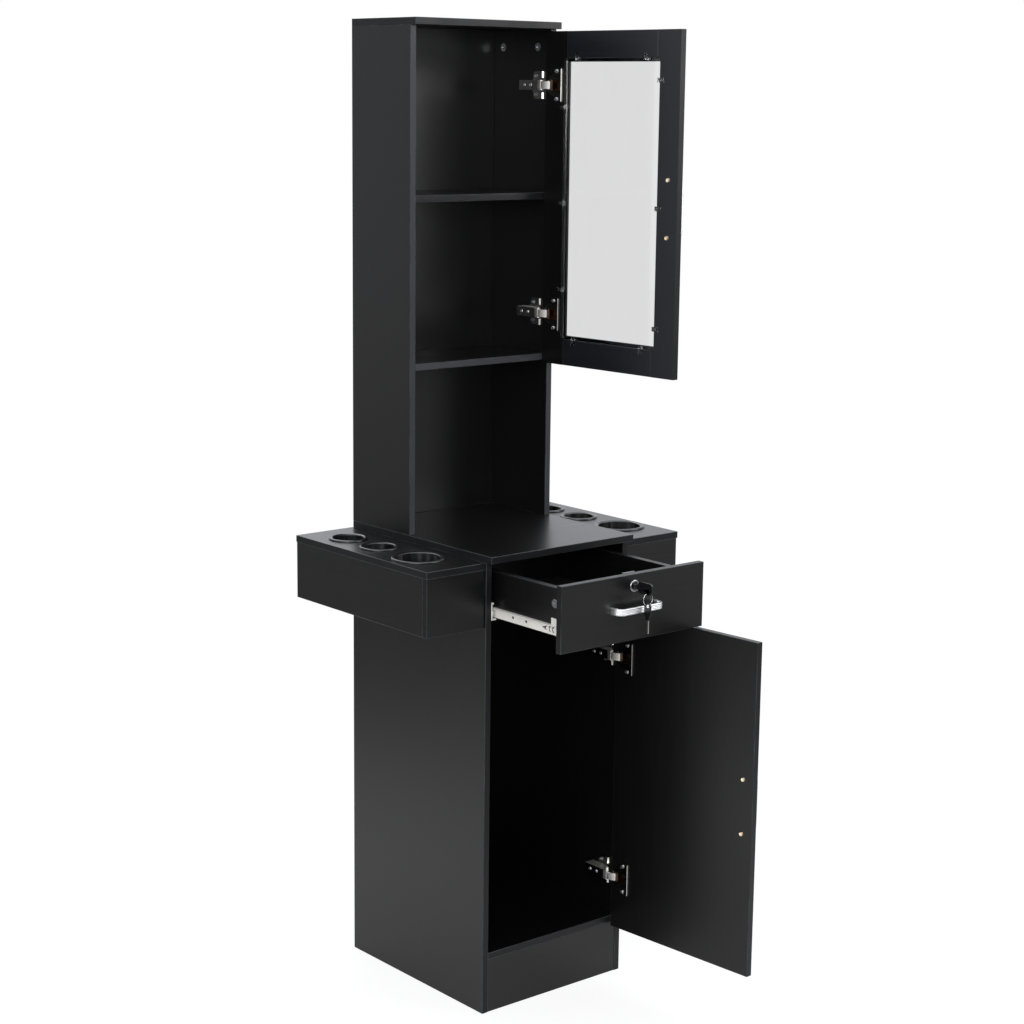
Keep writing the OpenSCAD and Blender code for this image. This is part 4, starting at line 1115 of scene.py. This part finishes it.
# Rounds the corners of the cup's flange and rolls a rim up along its far edge
def hingeCupShape(which):
    place = doorPlace(which)
    half = hinge["flangeHigh"] / 2
    heights = [z / mm for z in hingeHeights(which)]

    # The edges through the flange's thickness at its four corners
    def isCorner(edge):
        first, second = (v.co / mm for v in edge.verts)
        atEnd = any(abs(abs(first.z - z) - half) < 0.1 for z in heights)
        return atEnd and abs(first.y - second.y) > 0.9 and abs(first.x - second.x) < 0.01

    def shape(bm):
        bmesh.ops.transform(bm, matrix=place.inverted(), verts=bm.verts)
        roundEdges(bm, [e for e in bm.edges if isCorner(e)], hinge["flangeCorner"], 6)
        roundEdges(bm, sharpEdges(bm, 1.2), hinge["flangeRound"], 2)
        x, reach = hinge["rimAt"], half - hinge["rimShort"]
        for z in heights:
            roundedBlock(bm, (x, hinge["rimLow"], z - reach),
                         (x + hinge["rimWide"], hinge["rimHigh"], z + reach),
                         hinge["rimRound"], 5)
        bmesh.ops.transform(bm, matrix=place, verts=bm.verts)

    return shape


# Every hinge's place, in millimetres: the side panel's inner front edge at its height
hingePlaces = [Vector((sideIn, doorFront[which], z)) / mm
               for which in doorFront for z in hingeHeights(which)]


# A lip across the front end of each plate wing, its outer corner cut off towards the room
def addLips(bm):
    lip = hinge["lip"]
    for x, y, z in hingePlaces:
        for side in (-1, 1):
            bottom, top = sorted(z + side * h for h in lip["height"])
            low = Vector((x + lip["out"][0], y + lip["back"][0], bottom))
            high = (x + lip["out"][1], y + lip["back"][1], top)
            made = roundedBlock(bm, low, high, 0.0)
            corner = {e for v in made for e in v.link_edges
                      if all((w.co / mm - low).xy.length < 0.01 for w in e.verts)}
            roundEdges(bm, list(corner), lip["cut"], 1)


# The arm's outer face reaches forward over its nose
def addCaps(bm):
    cap = hinge["cap"]
    for x, y, z in hingePlaces:
        roundedBlock(bm, (x + cap["out"][0], y + cap["back"][0], z - cap["half"]),
                     (x + cap["out"][1], y + cap["back"][1], z + cap["half"]), cap["round"], 2)


# A link is cut across at one distance from its nose pin, past which it is browned
def linkShape(which):
    noseX, noseY = hinge["nose"]
    nose = Vector((sideIn + noseX * mm, doorFront[which] + noseY * mm, 0))
    pin = doorPlace(which) @ Vector((-hinge["pinInDoor"][0] * mm, 0, 0))
    way = (pin - nose).normalized()
    limit = nose + way * hinge["linkBright"] * mm

    def shape(bm):
        roundEdges(bm, sharpEdges(bm, 2.0), hinge["linkRound"], 2)
        bmesh.ops.bisect_plane(bm, geom=bm.verts[:] + bm.edges[:] + bm.faces[:],
                               dist=weld["fine"], plane_co=limit, plane_no=way)

    return shape, lambda p: 1 if (p - limit).dot(way) > 0 else 0


# A hinge piece's point against the nearest hinge: how far back and how far above or below
def fromHinge(point):
    near = min(hingePlaces, key=lambda place: abs(point.z / mm - place.z))
    return point.y / mm - near.y, abs(point.z / mm - near.z)


def isPlateWing(point):
    back, height = fromHinge(point)
    least, most = hinge["plateHeight"]
    out = point.x < sideIn - hinge["plateOut"] * mm
    return 1 if out and back < hinge["plateBack"] and least < height < most else 0


def isArmNose(point):
    back, height = fromHinge(point)
    return 1 if back < hinge["armBack"] and height < hinge["armHalf"] else 0


def cupPick(which):
    back = doorPlace(which).inverted()
    return lambda p: 1 if (back @ p).y < hinge["cupDeep"] * mm else 0


for which in doorFront:
    dressed(f"{which}_hinge_cups", ["nickel", "copper"], cupPick(which),
            shape=hingeCupShape(which))
    shape, pick = linkShape(which)
    dressed(f"{which}_hinge_links", ["satinNickel", "copper"], pick, shape=shape)
# The plate and arm bodies take the darker nickel as painted shade; the wings and noses stay bright
dressed("hinge_plates", ["darkNickel", "nickel"], isPlateWing, [(None, 3.0, 0.55, 3)],
        shape=addLips)
dressed("hinge_arms", ["darkNickel", "satinNickel"], isArmNose, [(None, 3.0, 0.35, 2)],
        shape=addCaps)
print("hinges")


# Screws, cam discs, clips, pane and drawer bottom

# Past each distance from the door's hinge edge, in millimetres, the next kind of screw starts
screwLimits = {"upper": (36, 285, 1000), "lower": (100, 1000)}
railScrewsOut = 100.0  # the drawer's screws further from its middle are the rails'


def doorScrewPick(which):
    back = doorPlace(which).inverted()

    def pick(point):
        away = -(back @ point).x / mm
        return next(i for i, limit in enumerate(screwLimits[which]) if away < limit)

    return pick


def isRailScrew(point):
    return 1 if abs(point.x) > railScrewsOut * mm else 0


def onDiscFace(point):
    return abs(abs(point.x) - sideIn) < 0.5 * mm


dressed("cabinet_screws", ["zinc"], smooth=35)
dressed("drawer_screws", ["paleGold", "zinc"], isRailScrew, smooth=35)
dressed("upper_door_screws", ["zinc", "clip", "paleGold"], doorScrewPick("upper"), smooth=35)
dressed("lower_door_screws", ["zinc", "paleGold"], doorScrewPick("lower"), smooth=35)
dressed("cam_discs", ["zinc"], bevels=[(onDiscFace, 0.3, 0.3, 2)])
dressed("pane_clips", ["clip"], bevels=[(None, 1.5, 0.25, 2)])
dressed("upper_pane", ["glass"], bevels=[(None, 0.0, 0.5, 2)])
dressed("drawer_bottom", ["hardboard"], bevels=[(None, 6, 0.3, 2)])
print("screws, discs, clips, pane and drawer bottom")


# Slides

roller = {
    "radius": 8.0, "wide": 6.0, "bore": 2.05, "hub": 3.6, "hubSlope": 0.4, "dish": 0.5,
    "rim": 1.6, "rimSlope": 1.2, "rimLow": 0.1, "steps": 64,
    "round": 0.7, "roundAt": 0.9, "roundFrom": -50, "roundSteps": 3,
}


def rollerProfile():
    r, w, dish, low = roller["radius"], roller["wide"], roller["dish"], roller["rimLow"]
    hub, curve = roller["hub"], roller["round"]
    points = [(roller["bore"], 0.0), (hub, 0.0), (hub + roller["hubSlope"], dish)]
    points += [(r - roller["rim"], dish), (r - roller["rimSlope"], low), (r - curve, low)]
    points += arc(r - curve, roller["roundAt"], curve, roller["roundFrom"], 0,
                  roller["roundSteps"])
    half = points + [(r, w / 2)]
    return half + [(a, w - b) for a, b in reversed(half[:-1])]


# A wheel on the X axis in the middle of each of the node's two solids
def makeRollers(nodeName):
    bm = bmesh.new()
    solids = {}
    for v in frame["nodes"][nodeName].data.vertices:
        solids.setdefault(v.co.x > 0, []).append(v.co)
    for points in solids.values():
        low, high = (Vector([best(p[i] for p in points) for i in range(3)]) for best in (min, max))
        made = bmesh.new()
        spunRing(made, rollerProfile(), (0, 0, 0), roller["steps"], closed=True)
        bmesh.ops.recalc_face_normals(made, faces=made.faces)
        place = Matrix.Translation((low.x, (low.y + high.y) / 2, (low.z + high.z) / 2))
        turn = Matrix.Rotation(math.pi / 2, 4, "Y")
        bmesh.ops.transform(made, matrix=place @ turn, verts=made.verts)
        part = bpy.data.meshes.new("part")
        made.to_mesh(part)
        made.free()
        bm.from_mesh(part)
        bpy.data.meshes.remove(part)
    finishPiece(bm, nodeName, ["roller"], 50)


makeRollers("cabinet_rollers")
makeRollers("drawer_rollers")
dressed("cabinet_rails", ["cream"], whole=False)
dressed("drawer_rails", ["cream"], whole=False)
print("slides")
